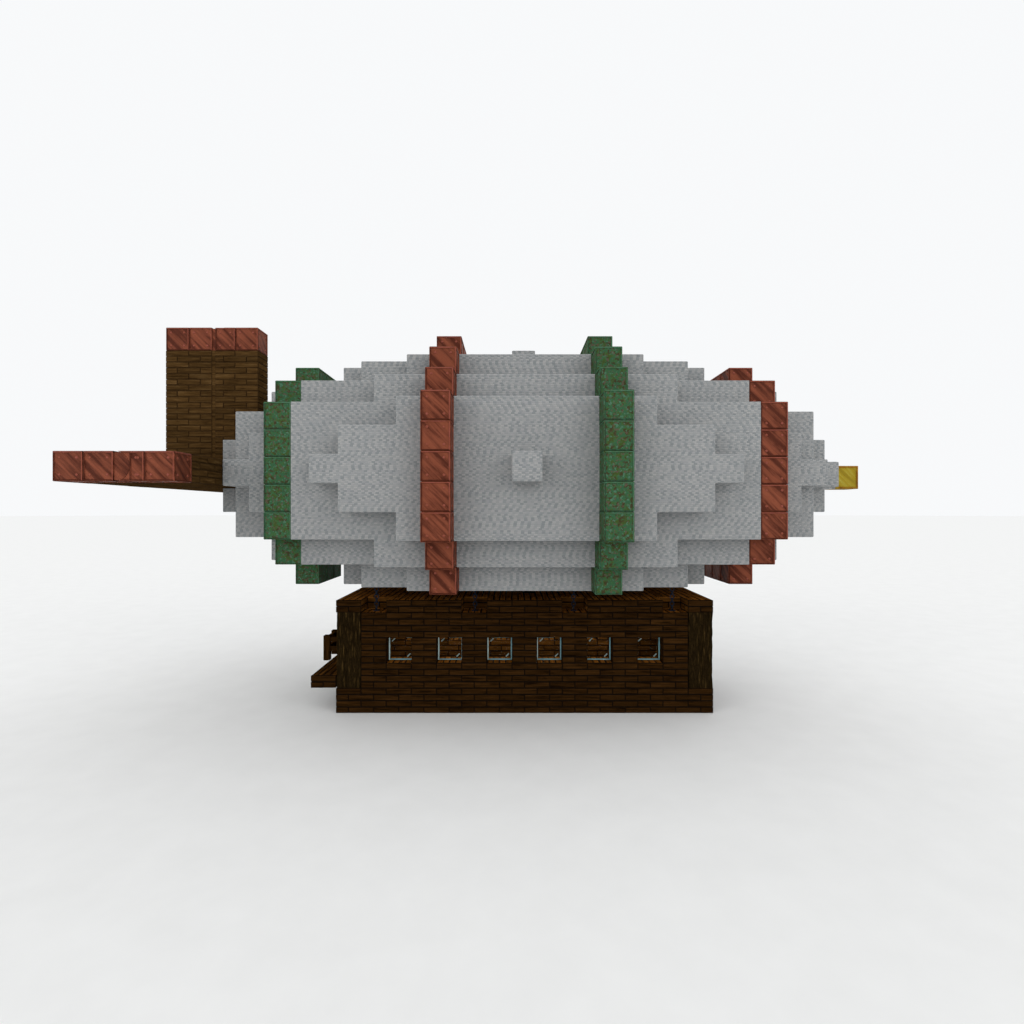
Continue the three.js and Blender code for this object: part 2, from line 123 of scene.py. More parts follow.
# Hinges of the moving tail parts: where they lie, how far their coves reach, the gap at an
# elevator's root, and the slope at which what stands beside a turning nose is bevelled
# behind, in degrees, with that slope's distance from the hinge line and the distance from
# the middle at which outer boards and plates begin
HINGE_X = -13.0
HINGE_COVE = 0.51
HINGE_GAP = 0.01
HINGE_SLOPE = 73.0
HINGE_CLEAR = 0.507
HINGE_OUTER = 0.4

# Wood grain: growth rings for each metre across a board, and how far they wander, in radians
RINGS_ACROSS = 190.0
RINGS_WANDER = 30.0

# Plates: one on every open face of a block, with a rivet near each corner
PLATE_SETBACK = 0.004
PLATE_DEPTH = 0.06
PLATE_REVEAL = 0.045
PLATE_GAP = 0.008
PLATE_CORNER_GAP = 0.016
PLATE_EDGE = 0.012
PLATE_RIM = 0.052
PLATE_SINK = 0.024
PLATE_WALL = 0.010
RIVET_RADIUS = 0.048
RIVET_HEIGHT = 0.022
RIVET_INSET = 0.205

# Cloth: how far block edges are rounded, the angle in radians from which an edge is one, and
# rows of thick stitches with slanting strands
CLOTH_EDGE = 0.045
CLOTH_ANGLE = 0.5
WEAVE_ROW = 0.0625
WEAVE_STITCH = 0.12
WEAVE_STRANDS = 7.5

# Blocks of the hull and the hoops, counted from the middle block
HULL_CENTRE = Vector((0.5, 0.0, 9.5))
HULL_ALONG = 13
HULL_ACROSS = 6
HULL_UP = 5
HOOP_MARGIN = 0.65
HOOPS = [
    {"node": "hoop_green_aft", "at": -9, "plate": "green", "open_below": False},
    {"node": "hoop_copper_aft", "at": -3, "plate": "copper", "open_below": True},
    {"node": "hoop_green_fore", "at": 3, "plate": "green", "open_below": True},
    {"node": "hoop_copper_fore", "at": 9, "plate": "copper", "open_below": False},
]

# Bark: how deep its furrows and its grain are, and how finely it is cut
BARK_FURROW = 0.034
BARK_GRAIN = 0.012
BARK_CORNER = 0.035
BARK_COLUMNS = 40
BARK_ROWS = 50

# Openings of the cabin, with the bars and the panes of its windows, and the painted glints on the
# panes
WINDOW_CENTRES = (-4.5, -2.5, -0.5, 1.5, 3.5, 5.5)
WINDOW_ROWS = (2.0, 3.0)
WINDOW_BAR = 0.048
WINDOW_BAR_DEPTH = 0.054
WINDOW_BAR_EDGE = 0.008
GLASS_DEPTH = 0.02
GLASS_HOLD = 0.01
DOORWAY_ROWS = (1.0, 3.0)
GLINT_SPAN = (0.59, 0.65)
GLINT_REACH = 0.12
CHAIN_ROWS = (-5.5, -1.5, 2.5, 6.5)
ROOF_OPENING = ((0.0, 1.0), (-0.5, 0.5))

# Chains: their links, their end plates with four bolts, and the bar below the middle one
LINKS = 6
LINK_WIDTH = 0.19
LINK_BAR = 0.042
LINK_BITE = 0.008
CAD_LINK_BAR = 0.045
PAD_SIZE = 0.24
PAD_DEPTH = 0.02
PAD_EDGE = 0.004
BOLT_RADIUS = 0.018
BOLT_DEPTH = 0.024
BOLT_ASIDE = 0.085
BOLT_EDGE = 0.003
CROSS_BAR = 0.1
CROSS_BAR_EDGE = 0.008

# Balcony fence: a row of posts and rails beside the doorway and one at the deck's side
FENCE_ROWS = (1.0, 2.0)
FENCE_SPAN = (2.0, 3.0)
FENCE_HEIGHTS = ((2.375, 2.563), (2.75, 2.938))
FENCE_POST = 0.25
FENCE_POST_EDGE = 0.016
FENCE_RAIL = 0.125
FENCE_RAIL_EDGE = 0.012
FENCE_RAIL_START = 0.1

# Door: boards on a rounded heel with a rod, ledges inside, and straps and a ring outside
DOOR_SPAN = (1.01, 2.99)
DOOR_AXIS_Y = -0.44
DOOR_BOARDS = 4
DOOR_GAP = 0.006
DOOR_RIM = 0.008
DOOR_SETBACK = 0.006
DOOR_BACK = 0.02
DOOR_HEEL = 0.05
DOOR_ROD = 0.02
LEDGE_FEET = (1.22, 1.93, 2.64)
LEDGE_WIDTH = 0.14
LEDGE_BACK = 0.018
LEDGE_START = 0.03
LEDGE_END = 0.02
LEDGE_EDGE = 0.006
STRAP_HEIGHTS = (1.29, 2.71)
STRAP_WIDTH = 0.06
STRAP_LENGTH = 0.72
STRAP_DEPTH = 0.012
STRAP_EDGE = 0.003
RING_RADIUS = 0.05
RING_BAR = 0.016
RING_PROUD = 0.002
RING_INSET = 0.16
RING_HEIGHT = 1.95

# Nose block: its rounded edges, its border and the step down to its panels
NOSE_EDGE = 0.022
NOSE_BORDER = 0.055
NOSE_SINK = 0.02

# Tones as they show in the photograph, and the tint of a pane, in 8-bit sRGB
TONES = {
    "cloth dark": (124, 128, 130),
    "cloth cool": (136, 139, 140),
    "cloth warm": (146, 147, 147),
    "cloth light": (154, 154, 153),
    # Painted shade for the dips between rows of cloth
    "cloth gap shade": (116, 119, 120),
    # Painted shade for the copper plates' rims below and left
    "copper grime": (62, 27, 16),
    "copper dark": (74, 33, 20),
    "copper": (104, 54, 37),
    "copper light": (123, 66, 46),
    # Painted highlight for the copper plates' rims above and right, also used on the rivets
    "copper rubbed": (136, 74, 62),
    # Painted shade for the green plates' rims below and left
    "green grime": (38, 56, 44),
    "green": (54, 88, 52),
    "green teal": (46, 84, 60),
    "olive": (58, 74, 34),
    "umber": (56, 51, 30),
    "rose": (80, 71, 58),
    "green pale": (68, 104, 82),
    "gold": (140, 119, 24),
    "gold light": (149, 137, 52),
    "gold amber": (132, 90, 8),
    "fin dark": (46, 31, 14),
    "fin": (66, 47, 24),
    "fin light": (86, 65, 38),
    "cabin dark": (18, 9, 3),
    "cabin": (40, 24, 8),
    "cabin light": (54, 34, 14),
    # Roof wood, much lighter than the cabin's: painted light on boards that face up, the roof top
    # under the hull's shadow, the sills and the wall tops in the notches
    "roof dark": (72, 42, 14),
    "roof": (126, 78, 29),
    "roof light": (150, 98, 46),
    # Inner wood, lighter than the cabin's: painted light on faces in shade, inside the cabin and in
    # the roof's notches
    "inner dark": (44, 26, 9),
    "inner": (80, 50, 18),
    "inner light": (102, 67, 29),
    # Deck wood, lighter than the cabin's: painted light on the deck's top
    "deck dark": (36, 21, 7),
    "deck": (68, 42, 16),
    "deck light": (92, 60, 26),
    "bark dark": (28, 20, 9),
    "bark": (48, 36, 17),
    "bark light": (66, 51, 27),
    "iron": (17, 21, 30),
    "iron light": (32, 38, 52),
    # Pale and teal bar tones: painted highlight on the left and top bars, painted shade on the right
    # and bottom ones
    "frame pale": (186, 209, 207),
    "frame teal": (120, 163, 172),
    "seam": (10, 7, 5),
    "floor": (240, 240, 239),
    "glass": (238.6, 247.0, 245.8),
    "glass light": (247.0, 251.6, 250.5),
}


def tone(name, gain=1.0):
    """A tone as linear colour, made lighter or darker by the gain"""
    linear = []
    for level in TONES[name]:
        share = level / 255
        if share <= 0.04045:
            linear.append(gain * share / 12.92)
        else:
            linear.append(gain * ((share + 0.055) / 1.055) ** 2.4)
    return (*linear, 1.0)


# Modelling helpers
def deselect_all():
    if bpy.context.object and bpy.context.object.mode != "OBJECT":
        bpy.ops.object.mode_set(mode="OBJECT")
    bpy.ops.object.select_all(action="DESELECT")


def make_active(piece):
    deselect_all()
    piece.select_set(True)
    bpy.context.view_layer.objects.active = piece


def start_piece(name, finishes, mesh=None):
    """A new piece in edit mode: an empty mesh, or the mesh that is given"""
    piece = bpy.data.objects.new(name, mesh or bpy.data.meshes.new(name))
    bpy.context.scene.collection.objects.link(piece)
    piece.data.materials.clear()
    for finish in finishes:
        piece.data.materials.append(finish)
    edit(piece)
    return piece


def edit(piece):
    make_active(piece)
    bpy.ops.object.mode_set(mode="EDIT")


def end_piece():
    bpy.ops.object.mode_set(mode="OBJECT")


def add_block(low, high):
    low = Vector(low)
    high = Vector(high)
    bpy.ops.mesh.primitive_cube_add(size=1, location=(low + high) / 2, scale=high - low)


def bevel(edge, segments=1):
    bpy.ops.mesh.bevel(offset=edge, segments=segments, affect="EDGES")


def add_bevelled(x, y, z, edge, segments=2):
    """A block with bevelled edges, by its stretch along each axis"""
    add_block(*zip(x, y, z))
    bevel(edge, segments)


def stretch_round(middle, width):
    return middle - width / 2, middle + width / 2


def sign_of(side):
    return 1 if side[0] == "+" else -1


def plane_of(side, low, high):
    """Where a side of a box lies on its own axis"""
    return (high if side[0] == "+" else low)[AXES[side[1]]]


def select_all():
    bpy.ops.mesh.select_all(action="SELECT")


def choose(piece, kind, is_wanted):
    """Selects the points, edges or faces that pass the test"""
    bpy.ops.mesh.select_mode(type=kind)
    bpy.ops.mesh.select_all(action="DESELECT")
    shape = bmesh.from_edit_mesh(piece.data)
    shape.normal_update()
    parts = {"VERT": shape.verts, "EDGE": shape.edges, "FACE": shape.faces}
    for part in parts[kind]:
        part.select_set(is_wanted(part))
    bmesh.update_edit_mesh(piece.data)


def select_faces(piece, is_wanted):
    """Selects the faces whose middle and normal pass the test"""
    choose(piece, "FACE", lambda face: is_wanted(face.calc_center_median(), face.normal))


def select_edges(piece, is_wanted):
    choose(piece, "EDGE", is_wanted)


def give_finish(piece, index):
    """Gives the selected faces the finish in that slot"""
    piece.active_material_index = index
    bpy.ops.object.material_slot_assign()


def map_sides():
    """Maps a piece in edit mode flat on each of its sides, in shares of the map's reach"""
    select_all()
    bpy.ops.uv.cube_project(cube_size=SIDE_MAP_REACH, correct_aspect=False)


def join_pieces(name, pieces):
    deselect_all()
    for piece in pieces:
        piece.select_set(True)
    bpy.context.view_layer.objects.active = pieces[0]
    if len(pieces) > 1:
        bpy.ops.object.join()
    bpy.ops.object.transform_apply(location=True, rotation=True, scale=True)
    bpy.ops.object.material_slot_remove_unused()
    pieces[0].name = name
    pieces[0].data.name = name
    return pieces[0]


def remove_piece(piece):
    mesh = piece.data
    bpy.data.objects.remove(piece)
    bpy.data.meshes.remove(mesh)


def set_in_copies(pattern, places):
    """Copies of a pattern, each with its own mesh, one at every place"""
    copies = []
    for place in places:
        twin = pattern.copy()
        twin.data = pattern.data.copy()
        twin.matrix_world = place
        bpy.context.scene.collection.objects.link(twin)
        copies.append(twin)
    return copies


def smooth(piece, degrees):
    make_active(piece)
    bpy.ops.object.shade_smooth_by_angle(angle=math.radians(degrees))


def stand_in(piece, node, body="root"):
    """The piece takes the place of a node and moves with its body"""
    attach(piece, body)
    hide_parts(node)


# Finishes
class Finish:
    """A material whose nodes are made and joined one after another"""

    def __init__(self, name):
        self.material = bpy.data.materials.new(name)
        self.material.use_nodes = True
        self.tree = self.material.node_tree
        self.tree.nodes.clear()
        self.shader = self.node("BsdfPrincipled")
        output = self.node("OutputMaterial")
        self.tree.links.new(self.shader.outputs[0], output.inputs["Surface"])
        self.place = self.node("TexCoord").outputs["Object"]
        self.at = dict(zip(AXES, self.split(self.place)))

    def node(self, kind, inputs=None, **settings):
        made = self.tree.nodes.new(f"ShaderNode{kind}")
        for name, value in settings.items():
            setattr(made, name, value)
        self.feed(made, inputs or {})
        return made

    def feed(self, node, inputs):
        """Links the inputs that come from other nodes and sets the plain ones"""
        for key, value in inputs.items():
            if isinstance(value, bpy.types.NodeSocket):
                self.tree.links.new(value, node.inputs[key])
            else:
                node.inputs[key].default_value = value

    def math(self, operation, first, second=0.0, third=0.0):
        inputs = {0: first, 1: second, 2: third}
        return self.node("Math", inputs, operation=operation).outputs[0]

    def add(self, first, second):
        return self.math("ADD", first, second)

    def times(self, first, second):
        return self.math("MULTIPLY", first, second)

    def total(self, *terms):
        """The sum of values, each times its weight"""
        return functools.reduce(self.add, [self.times(*term) for term in terms])

    def from_middle(self, value):
        """How far a value is from the middle of its whole step, from 0 to 1"""
        part = self.math("FRACT", value)
        return self.math("ABSOLUTE", self.math("MULTIPLY_ADD", part, 2.0, -1.0))

    def vector(self, x, y, z):
        return self.node("CombineXYZ", {0: x, 1: y, 2: z}).outputs[0]

    def split(self, vector):
        return self.node("SeparateXYZ", {0: vector}).outputs

    def stretch(self, vector, by):
        return self.node("VectorMath", {0: vector, 1: by}, operation="MULTIPLY").outputs[0]

    def shift(self, vector, by):
        return self.node("VectorMath", {0: vector, 1: by}, operation="ADD").outputs[0]

    def noise(self, vector, scale, detail=3.0, roughness=0.55, distortion=0.0):
        """Soft noise. Its scale is one number, or one for each axis."""
        if isinstance(scale, tuple):
            vector = self.stretch(vector, scale)
            scale = 1.0
        inputs = {"Vector": vector, "Scale": scale, "Detail": detail}
        inputs.update({"Roughness": roughness, "Distortion": distortion})
        return self.node("TexNoise", inputs).outputs[0]

    def random(self, vector, output="Value"):
        return self.node("TexWhiteNoise", {"Vector": vector}).outputs[output]

    def spread(self, value, low, high, new_low=0.0, new_high=1.0):
        inputs = {0: value, 1: low, 2: high, 3: new_low, 4: new_high}
        return self.node("MapRange", inputs).outputs[0]

    def ramp(self, factor, *stops):
        """A colour ramp, its stops given as a place, a tone and at times the tone's gain"""
        made = self.node("ValToRGB", {0: factor})
        elements = made.color_ramp.elements
        while len(elements) < len(stops):
            elements.new(0.5)
        for element, (position, *colour) in zip(elements, stops):
            element.position = position
            element.color = tone(*colour)
        return made.outputs[0]

    def mix(self, factor, first, second):
        inputs = {0: factor, 6: first, 7: second}
        return self.node("Mix", inputs, data_type="RGBA").outputs[2]

    def vary(self, colour, value, dark, light, low=0.3, high=0.7):
        """Makes a colour darker or lighter along with a value"""
        inputs = {0: colour, "Scale": self.spread(value, low, high, dark, light)}
        return self.node("VectorMath", inputs, operation="SCALE").outputs[0]

    def surface_place(self):
        """Metres across and up the flat side that a point belongs to, from its side map"""
        side_map = self.node("UVMap", uv_map="UVMap").outputs[0]
        shares = self.split(side_map)[:2]
        return [self.times(self.math("SUBTRACT", share, 0.5), SIDE_MAP_REACH) for share in shares]

    def block_key(self):
        """The same value all over one block"""
        x = self.math("FLOOR", self.at["x"])
        y = self.math("FLOOR", self.add(self.at["y"], 0.5))
        z = self.math("FLOOR", self.at["z"])
        return self.vector(x, y, z)

    def bump(self, height, distance, strength):
        inputs = {"Height": height, "Distance": distance, "Strength": strength}
        made = self.node("Bump", inputs)
        self.tree.links.new(made.outputs[0], self.shader.inputs["Normal"])

    def done(self, colour, roughness, specular, metallic=0.0, more=None):
        """Feeds the shader with these, and with any more of its inputs"""
        inputs = {"Base Color": colour, "Roughness": roughness, "Metallic": metallic}
        self.feed(self.shader, {**inputs, "Specular IOR Level": specular, **(more or {})})
        return self.material


def cloth_finish():
    """Thick wool in rows whose strands slant to and fro, with a tone for each short stitch"""
    finish = Finish("hull_cloth_weave")
    across, up = finish.surface_place()
    rows = finish.math("DIVIDE", up, WEAVE_ROW)
    row = finish.math("FLOOR", rows)
    row_key = finish.random(finish.vector(row, 3.0, 0.0))
    along = finish.math("DIVIDE", across, WEAVE_STITCH)
    along = finish.total((along, 1.0), (row_key, 2.0))
    stitch = finish.math("FLOOR", along)
    chance = finish.random(finish.vector(stitch, row, 5.0))
    turn = finish.math("FLOORED_MODULO", stitch, 2.0)
    tint = finish.total((chance, 0.55), (turn, 0.45))
    swell = finish.math("SUBTRACT", 1.0, finish.math("POWER", finish.from_middle(rows), 2.0))
    crown = finish.math("SQRT", finish.math("MAXIMUM", swell, 0.0))
    dip = finish.math("POWER", finish.from_middle(along), 7.0)
    odd = finish.math("FLOORED_MODULO", row, 2.0)
    slant = finish.times(finish.math("MULTIPLY_ADD", odd, 2.0, -1.0), up)
    lean = finish.vector(finish.add(across, slant), 0.0, 0.0)
    wave = {"Vector": lean, "Scale": WEAVE_STRANDS, "Distortion": 0.0}
    strands = finish.node("TexWave", wave).outputs[1]
    weather = finish.noise(finish.place, 0.35, 4.0)
    patch = finish.noise(finish.place, 3.2, 2.0)
    fuzz = finish.noise(finish.place, 60.0, 3.0, 0.7)
    colour = finish.ramp(
        finish.total((tint, 0.9), (patch, 0.1)),
        (0.12, "cloth dark"),
        (0.36, "cloth cool"),
        (0.60, "cloth warm"),
        (0.86, "cloth light"),
    )
    # Painted shade: the dips between rows of yarn are darkened towards the gap tone
    colour = finish.mix(finish.spread(crown, 0.6, 0.0, 0.0, 0.75), colour, tone("cloth gap shade"))
    colour = finish.vary(colour, strands, 0.94, 1.05, 0.0, 1.0)
    colour = finish.vary(colour, fuzz, 0.92, 1.08)
    colour = finish.vary(colour, weather, 0.97, 1.03, 0.25, 0.75)
    height = finish.total((crown, 1.0), (dip, -0.35), (strands, 0.3), (fuzz, 0.25))
    finish.bump(height, 0.016, 0.9)
    return finish.done(colour, 0.95, 0.06, more={"Sheen Weight": 0.15, "Sheen Roughness": 0.6})


def plank_finish(name, wood, run, row):
    """Boards along one axis in rows along another, each board with a tone of its own"""
    finish = Finish(name)
    third = next(axis for axis in AXES if axis not in (run, row))
    row_number = finish.math("FLOOR", finish.math("DIVIDE", finish.at[row], BOARD_PITCH))
    odd = finish.math("FLOORED_MODULO", row_number, 2.0)
    stagger = odd if run == "y" else finish.math("SUBTRACT", 1.0, odd)
    board_number = finish.math("FLOOR", finish.total((finish.at[run], 1.0), (stagger, 0.5)))
    key = finish.vector(board_number, row_number, float(AXES[third]))
    offset = finish.stretch(finish.random(key, "Color"), (31.0, 17.0, 23.0))
    place = finish.vector(finish.at[run], finish.at[row], finish.at[third])
    return wood_grain(finish, wood, finish.shift(place, offset), finish.random(key))


def timber_finish(name, wood, run):
    """Wood with its grain along one axis and no joints"""
    finish = Finish(name)
    second, third = (axis for axis in AXES if axis != run)
    place = finish.vector(finish.at[run], finish.at[second], finish.at[third])
    return wood_grain(finish, wood, place, 0.5)


def wood_grain(finish, wood, place, board_tone):
    """Growth rings, streaks and a few knots, in a place whose first axis is along the grain"""
    dark = f"{wood} dark"
    light = f"{wood} light"
    streaks = finish.noise(place, (1.1, 15.0, 15.0), 3.0, 0.55, 0.3)
    fibres = finish.noise(place, (6.0, 110.0, 110.0), 2.0, 0.6)
    warp = finish.noise(place, (0.7, 4.0, 4.0), 2.0)
    _, second, third = finish.split(place)
    width = finish.total((second, 1.0), (third, 0.7))
    rings = finish.math("SINE", finish.total((width, RINGS_ACROSS), (warp, RINGS_WANDER)))
    knot_place = finish.stretch(place, (1.3, 5.5, 5.5))
    knots = finish.node("TexVoronoi", {"Vector": knot_place, "Scale": 1.0}).outputs[0]
    colour = finish.ramp(streaks, (0.32, dark), (0.46, wood), (0.55, wood, 1.15), (0.70, light))
    colour = finish.mix(finish.spread(knots, 0.15, 0.05, 0.0, 0.8), colour, tone(dark))
    colour = finish.vary(colour, rings, 0.74, 1.05, -1.0, 0.6)
    colour = finish.vary(colour, fibres, 0.82, 1.18)
    colour = finish.vary(colour, board_tone, 0.8, 1.2, 0.0, 1.0)
    finish.bump(finish.total((streaks, 0.5), (fibres, 0.35), (rings, 0.12)), 0.006, 0.7)
    return finish.done(colour, finish.spread(streaks, 0.2, 0.8, 0.9, 0.68), 0.0)


def copper_finish():
    """Copper with painted sheen: dark and light stripes aslant over each plate, with fine brushing,
    a brown bloom and specks
    """
    finish = Finish("copper_painted_sheen")
    across, up = finish.surface_place()
    key = finish.random(finish.block_key())
    plate = finish.vector(finish.add(across, up), finish.math("SUBTRACT", across, up), key)
    # Painted sheen: soft stripes aslant that make each plate lighter and darker
    sheen_bands = finish.noise(plate, (3.6, 0.3, 40.0), 2.0, 0.5)
    brushing = finish.noise(plate, (17.0, 1.4, 40.0), 3.0, 0.6)
    bloom = finish.noise(finish.place, 7.0, 5.0, 0.6)
    specks = finish.noise(finish.place, 38.0, 3.0, 0.6)
    sheen_brushing_and_bloom = finish.total((sheen_bands, 0.66), (brushing, 0.2), (bloom, 0.14))
    colour = finish.ramp(sheen_brushing_and_bloom, (0.42, "copper dark"), (0.50, "copper"), (0.58, "copper light"))
    colour = finish.vary(colour, specks, 0.92, 1.08)
    colour = finish.vary(colour, key, 0.96, 1.04, 0.0, 1.0)
    finish.bump(finish.total((bloom, 0.6), (specks, 0.2), (brushing, 0.3)), 0.006, 0.6)
    return finish.done(colour, finish.spread(bloom, 0.3, 0.7, 0.52, 0.72), 0.15, 0.5)


def green_finish():
    """Copper under a full green patina, with olive, umber and rose patches and pale specks"""
    finish = Finish("copper_green_patina")
    key = finish.random(finish.block_key(), "Color")
    place = finish.shift(finish.place, finish.stretch(key, (9.0, 9.0, 9.0)))
    clouds = finish.noise(place, 4.4, 4.0, 0.6, 0.2)
    patches = finish.noise(place, 8.0, 3.0, 0.55)
    spots = finish.noise(place, 10.5, 2.5, 0.5)
    flecks = finish.noise(place, 11.0, 2.0, 0.5)
    grit = finish.noise(place, 40.0, 3.0, 0.6)
    colour = finish.ramp(
        clouds, (0.40, "olive"), (0.47, "green"), (0.54, "green teal"), (0.64, "green")
    )
    for value, low, high, name in (
        (patches, 0.53, 0.60, "umber"),
        (spots, 0.57, 0.64, "rose"),
        (flecks, 0.59, 0.66, "green pale"),
    ):
        colour = finish.mix(finish.spread(value, low, high), colour, tone(name))
    colour = finish.vary(colour, grit, 0.86, 1.14)
    finish.bump(finish.total((clouds, 1.0), (grit, 0.3)), 0.006, 0.6)
    return finish.done(colour, finish.spread(patches, 0.4, 0.65, 0.85, 0.6), 0.08, 0.1)


def gold_finish(name, shade, middle, light):
    finish = Finish(name)
    across, up = finish.surface_place()
    # Painted sheen: soft stripes aslant that make the gold lighter and darker, the darker ones by
    # the shade gain
    aslant = finish.vector(finish.add(across, up), across, 4.0)
    sheen_bands = finish.noise(finish.stretch(aslant, (2.3, 0.5, 1.0)), 1.6)
    dents = finish.noise(finish.place, 9.0, 3.0, 0.5)
    colour = finish.ramp(sheen_bands, (0.40, middle, shade), (0.50, middle), (0.62, light))
    colour = finish.vary(colour, dents, 0.92, 1.08)
    finish.bump(dents, 0.006, 0.5)
    return finish.done(colour, finish.spread(dents, 0.3, 0.7, 0.42, 0.58), 0.2, 0.6)


def bark_finish():
    """Dark furrows between cracked ridges, by the depth that each point of the bark has"""
    finish = Finish("post_bark")
    furrow = finish.node("Attribute", attribute_name="furrow").outputs["Fac"]
    bent = finish.noise(finish.place, (9.0, 9.0, 2.2), 2.0)
    bent = finish.stretch(finish.vector(bent, bent, bent), (0.05, 0.05, 1.0))
    crack_place = finish.stretch(finish.shift(finish.place, bent), (26.0, 26.0, 3.4))
    cracks = {"Vector": crack_place, "Scale": 1.0}
    cracks = finish.node("TexVoronoi", cracks, feature="DISTANCE_TO_EDGE").outputs[0]
    cracks = finish.spread(cracks, 0.0, 0.12)
    fibres = finish.noise(finish.place, (42.0, 42.0, 5.0), 4.0, 0.7)
    flakes = finish.noise(finish.place, (70.0, 70.0, 26.0), 3.0, 0.6)
    patches = finish.noise(finish.place, (5.0, 5.0, 1.4), 2.0)
    depth = BARK_FURROW + 0.5 * BARK_GRAIN
    ridges = finish.spread(furrow, 0.8 * depth, 0.1 * depth, 0.0, 0.62)
    level = finish.add(ridges, finish.spread(fibres, 0.3, 0.7, 0.0, 0.38))
    colour = finish.ramp(level, (0.18, "bark dark"), (0.50, "bark"), (0.95, "bark light"))
    colour = finish.vary(colour, cracks, 0.45, 1.12, 0.0, 1.0)
    colour = finish.vary(colour, flakes, 0.78, 1.24)
    colour = finish.vary(colour, patches, 0.8, 1.2)
    finish.bump(finish.total((cracks, 0.6), (fibres, 0.7), (flakes, 0.4)), 0.016, 1.0)
    return finish.done(colour, 0.95, 0.0)


def plain_finish(name, noise, stops, bump, roughness, specular, metallic=0.0, more=None):
    """One noise, by its scale, detail and roughness, that sets the tone and the relief. Two
    roughnesses are spread along it."""
    finish = Finish(name)
    wear = finish.noise(finish.place, *noise)
    if bump:
        finish.bump(wear, *bump)
    if isinstance(roughness, tuple):
        roughness = finish.spread(wear, 0.3, 0.7, *roughness)
    return finish.done(finish.ramp(wear, *stops), roughness, specular, metallic, more)


def seam_finish(name, kind):
    """What shows in the gaps: dark, with dust caught in it"""
    stops = [(0.35, kind, 0.7), (0.75, kind, 1.5)]
    return plain_finish(name, (9.0, 4.0), stops, (0.003, 0.5), 0.95, 0.05)


def rim_finish(name, tones, roughness, metallic):
    """The edge of a plate, mottled unevenly between its tones. The lighter sets paint highlight on
    rims above and right, the darker sets paint shade on rims below and left.
    """
    stops = [(0.34 + 0.26 * index / (len(tones) - 1), kind) for index, kind in enumerate(tones)]
    return plain_finish(name, (8.0, 4.0, 0.6), stops, (0.003, 0.5), roughness, 0.1, metallic)


def frame_finish(kind):
    """Old lead-grey paint on a slim window bar"""
    stops = [(0.30, f"frame {kind}", 0.75), (0.55, f"frame {kind}")]
    return plain_finish(f"window_bar_{kind}", (14.0, 4.0, 0.6), stops, (0.002, 0.4), 0.6, 0.15)


def clear_finish(name, noise, stops, bump, roughness, transmission, bending):
    more = {"Transmission Weight": transmission, "IOR": bending}
    return plain_finish(name, noise, stops, bump, roughness, 0.05, more=more)


def plank_set(wood):
    """The finishes of one wood: by the axis that a planked side faces, and for board rims"""
    return {
        "y": plank_finish(f"{wood}_planks_along", wood, "x", "z"),
        "x": plank_finish(f"{wood}_planks_across", wood, "y", "z"),
        "z": plank_finish(f"{wood}_planks_flat", wood, "y", "x"),
        "rim": seam_finish(f"{wood}_board_rims", f"{wood} dark"),
        "seam": seam_finish(f"{wood}_seams", "seam"),
    }


# The roof, inner and deck woods are lighter tones that paint light onto tops and into shade
WOODS = {wood: plank_set(wood) for wood in ("fin", "cabin", "roof", "inner", "deck")}
TIMBER = {axis: timber_finish(f"cabin_timber_{axis}", "cabin", axis) for axis in AXES}
# Lighter timber for the fence rails that stand in shade: painted light
RAIL_TIMBER_PAINTED_LIGHT = {axis: timber_finish(f"rail_timber_painted_light_{axis}", "inner", axis) for axis in ("x", "y")}
# Plate finishes: the field; the rim with painted highlight above and right, which the rivets share;
# and the rim with painted shade below and left, which the hoop cores share
PLATES = {
    "copper": [
        copper_finish(),
        rim_finish("copper_rubbed_and_painted_highlight", ["copper light", "copper rubbed"], 0.6, 0.4),
        rim_finish("copper_painted_shade_rim", ["copper grime", "copper dark"], 0.7, 0.4),
    ],
    "green": [
        green_finish(),
        rim_finish("green_rubbed_and_painted_highlight", ["green", "green pale"], 0.7, 0.1),
        rim_finish("green_painted_shade_rim", ["umber", "green grime", "green teal"], 0.8, 0.1),
    ],
}
CLOTH = cloth_finish()
BARK = bark_finish()
GOLD_PANEL = gold_finish("gold_panel", 0.8, "gold", "gold light")
GOLD_BORDER = gold_finish("gold_border", 0.7, "gold amber", "gold")
# Lit and shaded copies of the bar paint: the pale one paints highlight, the teal one shade
FRAME_PALE = frame_finish("pale")
FRAME_TEAL = frame_finish("teal")
IRON = plain_finish(
    "forged_iron", (26.0, 4.0, 0.6), [(0.35, "iron"), (0.72, "iron light")], (0.003, 0.6),
    (0.8, 0.6), 0.1,
)
GLASS = clear_finish(
    "window_pane", (2.5, 2.0), [(0.3, "glass"), (0.7, "glass light")], (0.004, 0.15),
    roughness=0.03, transmission=1.0, bending=1.06,
)
# Painted glints near two corners of each pane: pale, frosted and less clear than the glass
PANE_GLINT = clear_finish(
    "pane_painted_glint", (30.0, 3.0), [(0.3, "frame pale", 0.6), (0.7, "frame pale", 0.8)],
    (0.001, 0.3), roughness=0.4, transmission=0.35, bending=1.15,
)
PALE_FLOOR = plain_finish(
    "pale_floor", (0.8, 3.0), [(0.3, "floor", 0.97), (0.7, "floor")], None, 0.95, 0.0
)

# Planking
Panel = collections.namedtuple("Panel", "side plane run rows holes wood", defaults=[(), None])
PANEL_AXES = {"x": ("y", "z"), "y": ("x", "z"), "z": ("y", "x")}
SHEET_AXES = {"x": ("y", "z"), "y": ("x", "z"), "z": ("x", "y")}
# Where the block grid's edges lie along each axis, in metres from a whole number
BLOCK_EDGE = {"x": 0.0, "y": 0.5, "z": 0.0}


